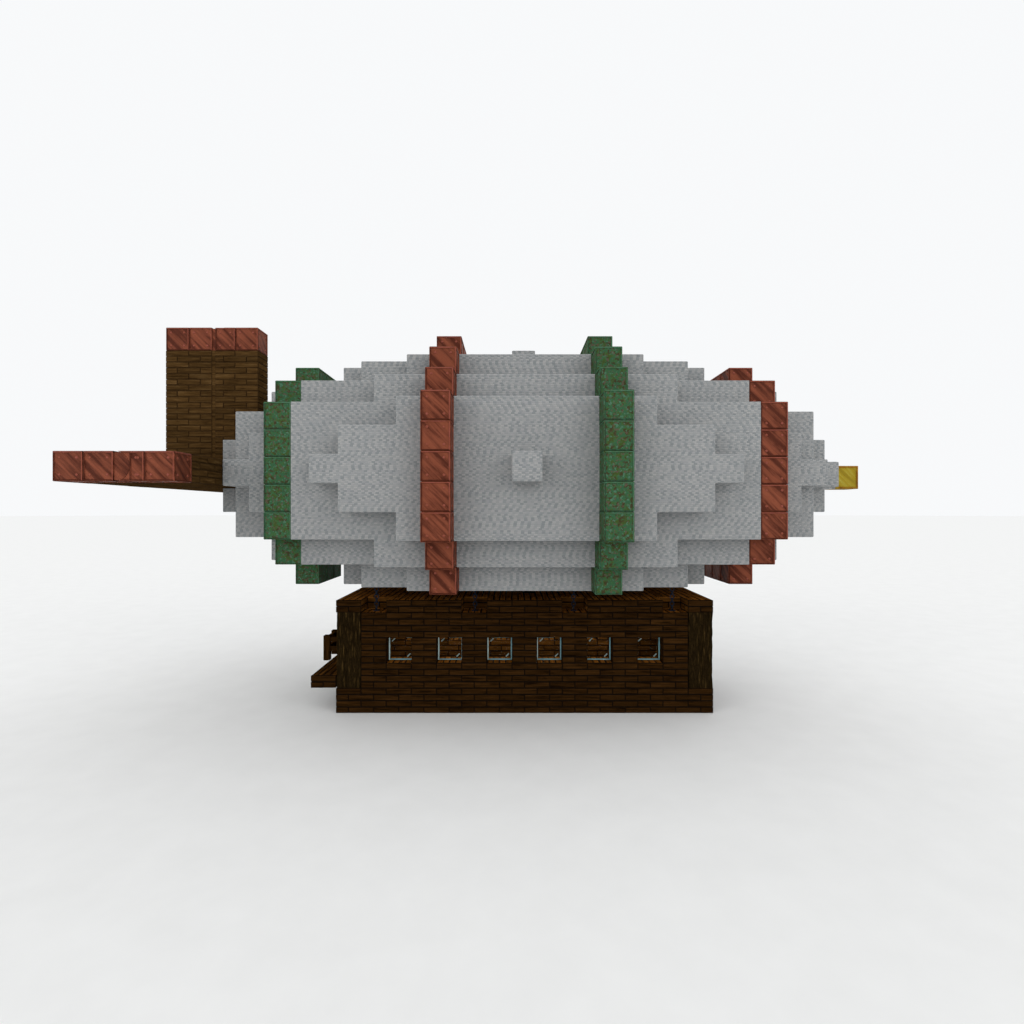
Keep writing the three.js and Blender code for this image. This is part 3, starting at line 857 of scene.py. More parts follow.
def open_spans(span, middle, holes):
    """What a row keeps of its length beside the holes that it meets"""
    spans = [span]
    for hole_run, hole_rows in holes:
        if not hole_rows[0] < middle < hole_rows[1]:
            continue
        parts = []
        for start, end in spans:
            parts.append((start, min(end, hole_run[0])))
            parts.append((max(start, hole_run[1]), end))
        spans = [(start, end) for start, end in parts if end - start > TINY]
    return spans


def cut_in_metres(span, offset):
    """A stretch cut at every whole metre, counted from an offset"""
    start, end = span
    cuts = [start]
    place = math.floor(start - offset + TINY) + offset + 1.0
    while place < end - TINY:
        cuts.append(place)
        place += 1.0
    cuts.append(end)
    return list(zip(cuts, cuts[1:]))


def boards_of(panel):
    """The low and high corner of every board of a panel"""
    sign = sign_of(panel.side)
    run, row = PANEL_AXES[panel.side[1]]
    first_row = math.floor(panel.rows[0] / BOARD_PITCH + TINY)
    last_row = math.ceil(panel.rows[1] / BOARD_PITCH - TINY)
    for number in range(first_row, last_row):
        row_low = max(panel.rows[0], number * BOARD_PITCH)
        row_high = min(panel.rows[1], (number + 1) * BOARD_PITCH)
        joint = BLOCK_EDGE[run] + (0.0 if number % 2 else 0.5)
        for span in open_spans(panel.run, (row_low + row_high) / 2, panel.holes):
            boards = cut_in_metres(span, joint)
            for index, (start, end) in enumerate(boards):
                start_gap = BOARD_END_GAP / 2 if index else 0.0
                end_gap = BOARD_END_GAP / 2 if index < len(boards) - 1 else 0.0
                outer = panel.plane - sign * random.uniform(0, BOARD_UNEVEN)
                inner = panel.plane - sign * BOARD_DEPTH
                limits = {
                    panel.side[1]: sorted((outer, inner)),
                    run: (start + start_gap, end - end_gap),
                    row: (row_low + BOARD_ROW_GAP / 2, row_high - BOARD_ROW_GAP / 2),
                }
                yield tuple(zip(*(limits[axis] for axis in AXES)))


def lay_boards(name, wood, panels):
    """Boards on the panels: laid as blocks, then the rims of their outer faces bevelled"""
    parts = []
    for side, kind in sorted({(panel.side, panel.wood or wood) for panel in panels}):
        part = start_piece(f"{name}_boards", [WOODS[kind][side[1]], WOODS[wood]["rim"]])
        for panel in panels:
            if (panel.side, panel.wood or wood) == (side, kind):
                for low, high in boards_of(panel):
                    add_block(low, high)
        axis = AXES[side[1]]
        select_faces(part, lambda middle, normal: sign_of(side) * normal[axis] > FACING)
        bpy.ops.mesh.bevel(offset=BOARD_RIM, segments=1, affect="EDGES", material=1)
        end_piece()
        parts.append(part)
    return parts


def panels_round(low, high, sides, holes=None, woods=None):
    """Panels on the named sides of a box: side boards run through, the others stop at them"""
    holes = holes or {}
    woods = woods or {}
    inset = dict.fromkeys(sides, BOARD_DEPTH)
    panels = []
    for side in sides:
        spans = []
        for axis in PANEL_AXES[side[1]]:
            start = low[AXES[axis]]
            end = high[AXES[axis]]
            if (side[1], axis) in (("x", "y"), ("z", "y"), ("z", "x")):
                start += inset.get(f"-{axis}", 0.0)
                end -= inset.get(f"+{axis}", 0.0)
            spans.append((start, end))
        plane = plane_of(side, low, high)
        panels.append(Panel(side, plane, *spans, holes.get(side, ()), woods.get(side)))
    return panels


def core_box(low, high, sides, depth=BOARD_REVEAL):
    """The box behind the boards or plates of the named sides"""
    low = Vector(low)
    high = Vector(high)
    for side in sides:
        corner = high if side[0] == "+" else low
        corner[AXES[side[1]]] -= sign_of(side) * depth
    return low, high


def core_beside_holes(name, low, high, holes, finish):
    """A box with holes, made of the blocks between the holes' planes and then fused"""
    cuts = []
    for axis in range(3):
        planes = {round(low[axis], 4), round(high[axis], 4)}
        for hole_low, hole_high in holes:
            planes.add(round(hole_low[axis], 4))
            planes.add(round(hole_high[axis], 4))
        cuts.append(sorted(p for p in planes if low[axis] - TINY < p < high[axis] + TINY))
    core = start_piece(name, [finish])
    for x in zip(cuts[0], cuts[0][1:]):
        for y in zip(cuts[1], cuts[1][1:]):
            for z in zip(cuts[2], cuts[2][1:]):
                middle = [sum(pair) / 2 for pair in (x, y, z)]
                if not any(
                    all(hole_low[axis] < middle[axis] < hole_high[axis] for axis in range(3))
                    for hole_low, hole_high in holes
                ):
                    add_block(*zip(x, y, z))
    fuse_blocks()
    end_piece()
    return core


def fuse_blocks():
    """Makes one closed skin of blocks that stand face to face"""
    select_all()
    bpy.ops.mesh.remove_doubles(threshold=TINY)
    bpy.ops.mesh.select_mode(type="FACE")
    bpy.ops.mesh.select_all(action="DESELECT")
    bpy.ops.mesh.select_interior_faces()
    bpy.ops.mesh.delete(type="FACE")
    select_all()
    bpy.ops.mesh.normals_make_consistent(inside=False)
    bpy.ops.mesh.dissolve_limited(angle_limit=math.radians(1))


def start_from_node(name, node, finish):
    """A new piece in edit mode with a node's own shape, all of it selected"""
    piece = start_piece(name, [finish], frame["nodes"][node].data.copy())
    select_all()
    bpy.ops.mesh.remove_doubles(threshold=TINY)
    return piece


def node_core(name, node, finish, trims):
    """A copy of a node's shape, trimmed back behind its boards or plates"""
    core = start_from_node(name, node, finish)
    low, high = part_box(node)
    for side, depth in trims.items():
        outward = Vector(STEPS[side])
        plane = outward * (sign_of(side) * plane_of(side, low, high) - depth)
        select_all()
        bpy.ops.mesh.bisect(plane_co=plane, plane_no=outward, use_fill=True, clear_outer=True)
    select_all()
    bpy.ops.mesh.dissolve_limited(angle_limit=math.radians(1))
    bpy.ops.mesh.normals_make_consistent(inside=False)
    map_sides()
    end_piece()
    core.data.normals_split_custom_set([(0, 0, 0)] * len(core.data.loops))
    return core


# Hull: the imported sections, with the edges of their blocks rounded like cloth over a frame
def dress_hull(node):
    low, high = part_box(node)
    hull = start_from_node(f"{node}_cloth", node, CLOTH)
    bpy.ops.mesh.dissolve_limited(angle_limit=math.radians(1))
    bpy.ops.mesh.normals_make_consistent(inside=False)

    def is_block_edge(edge):
        if len(edge.link_faces) != 2 or edge.calc_face_angle() < CLOTH_ANGLE:
            return False
        ends = [vert.co.x for vert in edge.verts]
        at_cut = any(all(abs(x - plane) < TINY for x in ends) for plane in (low.x, high.x))
        return not at_cut

    select_edges(hull, is_block_edge)
    bpy.ops.mesh.bevel(offset=CLOTH_EDGE, segments=3, affect="EDGES", clamp_overlap=True)
    map_sides()
    end_piece()
    bpy.ops.mesh.customdata_custom_splitnormals_clear()
    smooth(hull, 40)
    stand_in(hull, node)


def inside_hull(i, j, level):
    reach = (i / HULL_ALONG) ** 2 + (j / HULL_ACROSS) ** 2 + (level / HULL_UP) ** 2
    return reach <= 1 + 1e-9


def inside_hoop(hoop, j, level):
    shrink = math.sqrt(1 - (hoop["at"] / HULL_ALONG) ** 2)
    across = HULL_ACROSS * shrink + HOOP_MARGIN
    up = HULL_UP * shrink + HOOP_MARGIN
    return (j / across) ** 2 + (level / up) ** 2 <= 1


def is_hoop_block(hoop, j, level):
    """The rim of the hoop's outline. An open hoop stops at the edge of the hull's belly."""
    if not inside_hoop(hoop, j, level):
        return False
    belly = 1 - HULL_UP
    if hoop["open_below"]:
        if level < belly:
            return False
        if level == belly and inside_hull(hoop["at"], j, level):
            return False
    near = [(j + dj, level + up) for dj in (-1, 0, 1) for up in (-1, 0, 1)]
    return not all(inside_hoop(hoop, *place) for place in near)


# Plates
def sheet(side, plane, spans, corners):
    """A plate's side, middle, width and height. It stops short of the corners of its block."""
    middle = Vector((0, 0, 0))
    middle[AXES[side[1]]] = plane
    sizes = []
    for axis in SHEET_AXES[side[1]]:
        low, high = spans[axis]
        low += PLATE_CORNER_GAP if f"-{axis}" in corners else PLATE_GAP
        high -= PLATE_CORNER_GAP if f"+{axis}" in corners else PLATE_GAP
        middle[AXES[axis]] = (low + high) / 2
        sizes.append(round(high - low, 4))
    return side, middle, sizes[0], sizes[1]


def model_plate(width, height, finishes):
    """A riveted plate that lies face up round the origin, sunk inside a rim with painted highlight
    above and right and painted shade below and left
    """
    half = Vector((width / 2, height / 2, 0))
    rim = half - Vector((PLATE_RIM, PLATE_RIM, 0))
    plate = start_piece("plate_pattern", finishes)
    add_block(-half - Vector((0, 0, PLATE_DEPTH)), half)
    select_faces(plate, lambda middle, normal: normal.z > FACING)
    bevel(PLATE_EDGE)
    select_faces(plate, lambda middle, normal: normal.z > FACING)
    bpy.ops.mesh.inset(thickness=PLATE_RIM - PLATE_EDGE - PLATE_WALL, depth=0)
    bpy.ops.mesh.inset(thickness=PLATE_WALL, depth=-PLATE_SINK)
    # Painted highlight on the rim faces above and right, painted shade on those below and left
    for index, sign in ((1, 1), (2, -1)):
        select_faces(plate, lambda middle, normal: (
            normal.z > FACING and max(sign * middle.x - rim.x, sign * middle.y - rim.y) > 0
        ))
        give_finish(plate, index)
    # The rivets take the lighter rim finish all over
    for x in (-1, 1):
        for y in (-1, 1):
            centre = (x * (half.x - RIVET_INSET), y * (half.y - RIVET_INSET), -PLATE_SINK)
            bpy.ops.mesh.primitive_uv_sphere_add(
                segments=10, ring_count=6, radius=RIVET_RADIUS, location=centre
            )
            give_finish(plate, 1)
            bpy.ops.mesh.bisect(
                plane_co=centre, plane_no=(0, 0, 1), clear_inner=True, use_fill=True
            )
            select_faces(plate, lambda middle, normal: is_near(middle, centre, RIVET_RADIUS))
            flatten = RIVET_HEIGHT / RIVET_RADIUS
            bpy.ops.transform.resize(value=(1, 1, flatten), center_override=centre)
    map_sides()
    end_piece()
    smooth(plate, 50)
    return plate


def is_near(middle, centre, reach):
    flat = (middle - Vector(centre)).xy
    return flat.length < reach and middle.z > centre[2] - TINY


def facing(side, middle):
    """Sets a pattern that lies face up so that it faces the side, its top edge up"""
    normal = Vector(STEPS[side])
    up = Vector((0, 1, 0)) if side[1] == "z" else Vector((0, 0, 1))
    across = up.cross(normal)
    turn = Matrix((across, up, normal)).transposed().to_4x4()
    return Matrix.Translation(Vector(middle) - normal * PLATE_SETBACK) @ turn


def lay_plates(sheets, kind):
    """Plates on the sheets: one of each size is modelled and then copied"""
    by_size = {}
    for side, middle, width, height in sheets:
        by_size.setdefault((width, height), []).append(facing(side, middle))
    plates = []
    for size, places in sorted(by_size.items()):
        pattern = model_plate(*size, PLATES[kind])
        plates += set_in_copies(pattern, places)
        remove_piece(pattern)
    return plates


def dress_hoop(hoop):
    i = hoop["at"]
    reach = HULL_ACROSS + 1
    blocks = {
        (j, level)
        for j in range(-reach, reach + 1)
        for level in range(-reach, reach + 1)
        if is_hoop_block(hoop, j, level)
    }

    def is_open(side, j, level):
        along, across, up = STEPS[side]
        place = (j + across, level + up)
        if along:
            return not inside_hull(i + along, j, level)
        return place not in blocks and not inside_hull(i, *place)

    sheets = []
    # The core takes the darker rim finish, with its painted shade, and shows in the gaps between the
    # plates
    core = start_piece(f"{hoop['node']}_core", [PLATES[hoop["plate"]][2]])
    for j, level in sorted(blocks):
        centre = HULL_CENTRE + Vector((i, j, level))
        low = centre - Vector((0.5, 0.5, 0.5))
        high = centre + Vector((0.5, 0.5, 0.5))
        spans = {axis: (low[number], high[number]) for axis, number in AXES.items()}
        open_sides = [side for side in STEPS if is_open(side, j, level)]
        for side in open_sides:
            sheets.append(sheet(side, plane_of(side, low, high), spans, open_sides))
        add_block(*core_box(low, high, open_sides, PLATE_REVEAL))
    end_piece()
    plates = lay_plates(sheets, hoop["plate"])
    piece = join_pieces(f"{hoop['node']}_plates", [core] + plates)
    stand_in(piece, hoop["node"])


def sheets_on(side, plane, spans, corners):
    """Plates over one side of a copper tip, cut at the block edges"""
    first, second = SHEET_AXES[side[1]]
    for run in cut_in_metres(spans[first], BLOCK_EDGE[first]):
        for rows in cut_in_metres(spans[second], BLOCK_EDGE[second]):
            met = []
            for axis, span in ((first, run), (second, rows)):
                if abs(span[0] - spans[axis][0]) < TINY:
                    met.append(f"-{axis}")
                if abs(span[1] - spans[axis][1]) < TINY:
                    met.append(f"+{axis}")
            open_corners = [corner for corner in met if corner in corners]
            yield sheet(side, plane, {first: run, second: rows}, open_corners)


def clear_hinge(piece, node, sides):
    """Bevels the backs of the boards or plates beside a cove, so that the nose turns clear"""
    low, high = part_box(node)
    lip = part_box("fin_cap")[0].x
    edit(piece)
    for side in sides:
        axis = AXES[side[1]]
        sign = sign_of(side)
        centre = (low[axis] + high[axis]) / 2

        def meets_nose(middle, normal):
            beside = lip < middle.x < lip + PLATE_REVEAL and normal.x < -FACING
            return beside and sign * (middle[axis] - centre) > HINGE_OUTER

        slope = math.radians(HINGE_SLOPE)
        outward = Vector((math.cos(slope), 0, 0))
        outward[axis] = sign * math.sin(slope)
        plane = Vector((HINGE_X, 0, 0)) + outward * HINGE_CLEAR
        plane[axis] += centre
        select_faces(piece, meets_nose)
        bpy.ops.mesh.select_linked()
        bpy.ops.mesh.bisect(plane_co=plane, plane_no=outward, use_fill=True, clear_inner=True)
    end_piece()


def dress_tip(node, runs, body="root", cleared=()):
    """A copper tip: plates on its flat sides, over a core that keeps its hinge curve"""
    low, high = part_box(node)
    core = node_core(f"{node}_core", node, PLATES["copper"][0], dict.fromkeys(runs, PLATE_REVEAL))
    sheets = []
    for side, run in runs.items():
        spans = {"x": run, "y": (low.y, high.y), "z": (low.z, high.z)}
        sheets += sheets_on(side, plane_of(side, low, high), spans, list(runs))
    piece = join_pieces(f"{node}_plates", [core] + lay_plates(sheets, "copper"))
    clear_hinge(piece, node, cleared)
    stand_in(piece, node, body)


# Cabin
def dress_cabin_part(node, sides, woods, holes=None, extra=(), core_holes=()):
    """Boards over a box-shaped node with openings. Some of its sides have a wood of their own."""
    low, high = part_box(node)
    panels = panels_round(low, high, sides, holes, woods) + list(extra)
    core_low, core_high = core_box(low, high, sides)
    seam = WOODS["cabin"]["seam"]
    core = core_beside_holes(f"{node}_core", core_low, core_high, core_holes, seam)
    piece = join_pieces(f"{node}_boards", [core] + lay_boards(node, "cabin", panels))
    stand_in(piece, node)


def dress_curved(node, wood, sides, panels, body, cleared=()):
    """Boards over a node whose own curve shows beside them"""
    trims = dict.fromkeys(sides, BOARD_REVEAL)
    core = node_core(f"{node}_core", node, WOODS[wood]["y"], trims)
    piece = join_pieces(f"{node}_boards", [core] + lay_boards(node, wood, panels))
    clear_hinge(piece, node, cleared)
    smooth(piece, 30)
    stand_in(piece, node, body)


def wider(low, high, axes):
    """A hole made wider by the boards that line it"""
    low = Vector(low)
    high = Vector(high)
    for axis in axes:
        low[AXES[axis]] -= BOARD_REVEAL
        high[AXES[axis]] += BOARD_REVEAL
    return low, high


def dress_side_wall(side_name):
    node = f"side_wall_{side_name}"
    low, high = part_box(node)
    depth = (low.y + BOARD_DEPTH, high.y - BOARD_DEPTH)
    sill, head = WINDOW_ROWS
    openings = []
    lining = []
    core_holes = []
    for centre in WINDOW_CENTRES:
        run = stretch_round(centre, 1.0)
        openings.append((run, WINDOW_ROWS))
        # Sills take the roof wood, which is painted light
        lining += [
            Panel("+x", run[0], depth, WINDOW_ROWS),
            Panel("-x", run[1], depth, WINDOW_ROWS),
            Panel("+z", sill, depth, run, wood="roof"),
            Panel("-z", head, depth, run),
        ]
        core_holes.append(wider(*zip(run, (low.y - 1, high.y + 1), WINDOW_ROWS), "xz"))
    holes = {"-y": openings, "+y": openings}
    # The wall's top takes the roof wood and its inner face the inner wood, both painted light
    woods = {"+z": "roof", "-y" if side_name == "port" else "+y": "inner"}
    dress_cabin_part(node, ["-y", "+y", "+z"], woods, holes, lining, core_holes)


def dress_end_wall(node, sill, head):
    low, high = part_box(node)
    depth = (low.x + BOARD_DEPTH, high.x - BOARD_DEPTH)
    opening = (-0.5, 0.5)
    rows = (sill, head)
    holes = {"-x": [(opening, rows)], "+x": [(opening, rows)]}
    lining = [
        Panel("+y", opening[0], depth, rows),
        Panel("-y", opening[1], depth, rows),
        Panel("-z", head, opening, depth),
    ]
    # Sills take the roof wood, which is painted light
    if sill > low.z + TINY:
        lining.append(Panel("+z", sill, opening, depth, wood="roof"))
    core_holes = [wider(*zip((low.x - 1, high.x + 1), opening, rows), "yz")]
    # The inner face takes the inner wood, which is painted light
    woods = {"+x" if node == "aft_wall" else "-x": "inner"}
    dress_cabin_part(node, ["-x", "+x"], woods, holes, lining, core_holes)


def dress_roof():
    """The roof, with a notch over each side chain and an opening round the middle chain"""
    low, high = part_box("roof")
    wall_inner = high.y - 1.0
    rows = (low.z, high.z)
    through = (low.z - 1, high.z + 1)
    along, across = ROOF_OPENING
    top_holes = [(across, along)]
    edge_holes = []
    lining = [
        Panel("+y", across[0], along, rows),
        Panel("-y", across[1], along, rows),
        Panel("+x", along[0], across, rows),
        Panel("-x", along[1], across, rows),
    ]
    core_holes = [wider(*zip(along, across, through), "xy")]
    for centre in CHAIN_ROWS:
        run = stretch_round(centre, 1.0)
        edge_holes.append((run, through))
        for sign in SIDES.values():
            inner = sign * wall_inner
            outer = sign * high.y
            top_holes.append((tuple(sorted((inner, outer))), run))
            notch = tuple(sorted((inner, outer - sign * BOARD_DEPTH)))
            # The notches are lined in the inner wood, which is painted light
            lining += [
                Panel("+x", run[0], notch, rows, wood="inner"),
                Panel("-x", run[1], notch, rows, wood="inner"),
                Panel("+y" if sign > 0 else "-y", inner, run, rows, wood="inner"),
            ]
            core_holes.append(wider(*zip(run, sorted((inner, outer + sign)), through), "xy"))
    holes = {"-y": edge_holes, "+y": edge_holes, "+z": top_holes, "-z": top_holes}
    # The roof's top takes the roof wood and its underside the inner wood, both painted light
    woods = {"+z": "roof", "-z": "inner"}
    dress_cabin_part("roof", EVERY_SIDE, woods, holes, lining, core_holes)


def dress_post(node):
    """A post in its bark: a finely cut block, pressed in by furrows that run up and down"""
    low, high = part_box(node)
    post = start_piece(f"{node}_bark", [BARK])
    add_block(low, high)

    def is_upright(edge):
        return abs(edge.verts[0].co.z - edge.verts[1].co.z) > TINY

    def is_long(edge):
        return not is_upright(edge) and edge.calc_length() > 0.5

    select_edges(post, is_upright)
    bpy.ops.mesh.bevel(offset=BARK_CORNER, segments=3, affect="EDGES")
    select_faces(post, lambda middle, normal: abs(normal.z) > FACING)
    bpy.ops.mesh.delete(type="FACE")
    select_edges(post, is_long)
    bpy.ops.mesh.subdivide(number_cuts=BARK_COLUMNS)
    select_edges(post, is_upright)
    bpy.ops.mesh.subdivide(number_cuts=BARK_ROWS)
    end_piece()
    uncut = [vert.co.copy() for vert in post.data.vertices]
    guide = bpy.data.objects.new("furrow_guide", None)
    bpy.context.scene.collection.objects.link(guide)
    layers = [
        {"kind": "VORONOI", "scale": (0.10, 0.10, 0.70), "depth": BARK_FURROW},
        {"kind": "CLOUDS", "scale": (0.045, 0.045, 0.26), "depth": BARK_GRAIN},
    ]
    for layer in layers:
        guide.scale = layer["scale"]
        bpy.context.view_layer.update()
        texture = bpy.data.textures.new(f"furrows_{layer['kind'].lower()}", layer["kind"])
        texture.noise_scale = 1.0
        if layer["kind"] == "VORONOI":
            texture.weight_1 = -1.0
            texture.weight_2 = 1.0
            texture.noise_intensity = 3.0
        make_active(post)
        press = post.modifiers.new("furrows", "DISPLACE")
        press.texture = texture
        press.texture_coords = "OBJECT"
        press.texture_coords_object = guide
        press.mid_level = 1.0
        press.strength = layer["depth"]
        bpy.ops.object.modifier_apply(modifier=press.name)
    bpy.data.objects.remove(guide)
    furrow = post.data.attributes.new("furrow", "FLOAT", "POINT")
    for vert, place in zip(post.data.vertices, uncut):
        furrow.data[vert.index].value = (vert.co - place).length
    edit(post)
    for plane in (low.z, high.z):
        select_edges(post, lambda edge: (
            edge.is_boundary and abs(edge.verts[0].co.z - plane) < 2 * BARK_FURROW
        ))
        middle = ((low.x + high.x) / 2, (low.y + high.y) / 2, plane)
        bpy.ops.transform.resize(value=(1, 1, 0), center_override=middle)
        bpy.ops.mesh.edge_face_add()
    end_piece()
    smooth(post, 60)
    stand_in(post, node)


# Windows
def model_window():
    """A framed pane that stands round the origin in X and Z"""
    window = start_piece("window_pattern", [FRAME_PALE, FRAME_TEAL, GLASS, PANE_GLINT])
    clear = 0.5 - WINDOW_BAR
    depth = (-WINDOW_BAR_DEPTH / 2, WINDOW_BAR_DEPTH / 2)
    # The left and top bars are pale, with painted highlight; the right and bottom bars are teal,
    # with painted shade
    bars = [
        {"across": (-0.5, -clear), "up": (-0.5, 0.5), "finish": 0},
        {"across": (clear, 0.5), "up": (-0.5, 0.5), "finish": 1},
        {"across": (-clear, clear), "up": (-0.5, -clear), "finish": 1},
        {"across": (-clear, clear), "up": (clear, 0.5), "finish": 0},
    ]
    for bar in bars:
        add_block(*zip(bar["across"], depth, bar["up"]))
        give_finish(window, bar["finish"])
        bevel(WINDOW_BAR_EDGE, 2)
    held = clear + GLASS_HOLD
    add_block((-held, -GLASS_DEPTH / 2, -held), (held, GLASS_DEPTH / 2, held))
    give_finish(window, 2)
    paint_pane_glints(window)
    end_piece()
    return window


def paint_pane_glints(window):
    """Cuts two short slanting painted glints into the faces of the pane"""

    def is_pane(middle, normal):
        return abs(normal.y) > FACING and abs(abs(middle.y) - GLASS_DEPTH / 2) < TINY

    slant = Vector((1, 0, -1))
    along = Vector((1, 0, 1))
    for direction, offsets in ((slant, GLINT_SPAN), (along, (GLINT_REACH,))):
        for offset in offsets:
            for sign in (-1, 1):
                select_faces(window, is_pane)
                place = direction * (sign * offset / 2)
                bpy.ops.mesh.bisect(plane_co=place, plane_no=direction)

    def is_glint(middle, normal):
        aside = abs(middle.x - middle.z)
        return (
            is_pane(middle, normal)
            and GLINT_SPAN[0] < aside < GLINT_SPAN[1]
            and abs(middle.x + middle.z) < GLINT_REACH
        )

    select_faces(window, is_glint)
    give_finish(window, 3)


def dress_windows():
    pattern = model_window()
    for node in sorted(frame["nodes"]):
        if node.startswith("window_"):
            low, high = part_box(node)
            turn = Matrix.Rotation(math.radians(90 if node == "window_fore" else 0), 4, "Z")
            place = Matrix.Translation((low + high) / 2) @ turn
            window = join_pieces(f"{node}_pane", set_in_copies(pattern, [place]))
            smooth(window, 30)
            stand_in(window, node)
    remove_piece(pattern)


# Chains
def model_link(length):
    """A round-bar link that stands face-on: a ring drawn out to its length"""
    link = start_piece("link_pattern", [IRON])
    bpy.ops.mesh.primitive_torus_add(
        major_segments=24,
        minor_segments=10,
        major_radius=(LINK_WIDTH - LINK_BAR) / 2,
        minor_radius=LINK_BAR / 2,
        rotation=(math.radians(90), 0, 0),
    )
    select_all()
    give_finish(link, 0)
    for sign in (-1, 1):
        choose(link, "VERT", lambda vert: sign * vert.co.z > TINY)
        bpy.ops.transform.translate(value=(0, 0, sign * (length - LINK_WIDTH) / 2))
    end_piece()
    smooth(link, 60)
    return link


def model_pad():
    """A square plate with four bolt heads, face up, its foot at the origin"""
    pad = start_piece("pad_pattern", [IRON])
    half = PAD_SIZE / 2
    add_block((-half, -half, 0), (half, half, PAD_DEPTH))
    bevel(PAD_EDGE)
    for x in (-BOLT_ASIDE, BOLT_ASIDE):
        for y in (-BOLT_ASIDE, BOLT_ASIDE):
            place = (x, y, PAD_DEPTH)
            bpy.ops.mesh.primitive_cylinder_add(
                vertices=6, radius=BOLT_RADIUS, depth=BOLT_DEPTH, location=place
            )
            bevel(BOLT_EDGE)
    end_piece()
    return pad


def dress_chain(node, foot):
    """Links turned to and fro between two plates, on a cross bar where the foot is higher"""
    low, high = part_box(node)
    middle = (low + high) / 2
    span = high.z - foot - 2 * PAD_DEPTH
    pitch = (span + 3 * LINK_BITE - 2 * CAD_LINK_BAR) / LINKS
    length = pitch + 2 * CAD_LINK_BAR - LINK_BITE
    link = model_link(length)
    pad = model_pad()
    places = []
    for index in range(LINKS):
        z = high.z - PAD_DEPTH + LINK_BITE - length / 2 - index * pitch
        turn = Matrix.Rotation(math.radians(90 * (index % 2)), 4, "Z")
        places.append(Matrix.Translation((middle.x, middle.y, z)) @ turn)
    over = Matrix.Rotation(math.radians(180), 4, "X")
    ends = [
        Matrix.Translation((middle.x, middle.y, foot)),
        Matrix.Translation((middle.x, middle.y, high.z)) @ over,
    ]
    parts = set_in_copies(link, places) + set_in_copies(pad, ends)
    if foot > low.z + TINY:
        parts.append(start_piece("cross_bar", [IRON]))
        add_block((low.x, -CROSS_BAR / 2, low.z), (high.x, CROSS_BAR / 2, foot))
        bevel(CROSS_BAR_EDGE, 2)
        end_piece()
    chain = join_pieces(f"{node}_links", parts)
    remove_piece(link)
    remove_piece(pad)
    smooth(chain, 50)
    stand_in(chain, node)


# Balcony fence
def dress_fence(side_name):
    node = f"rail_{side_name}"
    sign = SIDES[side_name]
    low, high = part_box(node)
    middle = low.x + FENCE_POST / 2
    parts = [start_piece("fence_posts", [TIMBER["z"]])]
    for row in FENCE_ROWS:
        across = stretch_round(sign * row, FENCE_POST)
        add_bevelled(stretch_round(middle, FENCE_POST), across, FENCE_SPAN, FENCE_POST_EDGE)
    end_piece()
    run = (middle + FENCE_RAIL_START, high.x)
    # The inner row's side rails and the end rails take the lighter timber, painted light in their
    # shade
    for row, wood in zip(FENCE_ROWS, (RAIL_TIMBER_PAINTED_LIGHT["x"], TIMBER["x"])):
        parts.append(start_piece("fence_side_rails", [wood]))
        for up in FENCE_HEIGHTS:
            add_bevelled(run, stretch_round(sign * row, FENCE_RAIL), up, FENCE_RAIL_EDGE)
        end_piece()
    parts.append(start_piece("fence_end_rails", [RAIL_TIMBER_PAINTED_LIGHT["y"]]))
    near, far = FENCE_ROWS
    across = sorted((sign * (near + FENCE_RAIL_START), sign * (far - FENCE_RAIL_START)))
    for up in FENCE_HEIGHTS:
        add_bevelled(stretch_round(middle, FENCE_RAIL), across, up, FENCE_RAIL_EDGE)
    end_piece()
    piece = join_pieces(f"{node}_timber", parts)
    smooth(piece, 30)
    stand_in(piece, node)


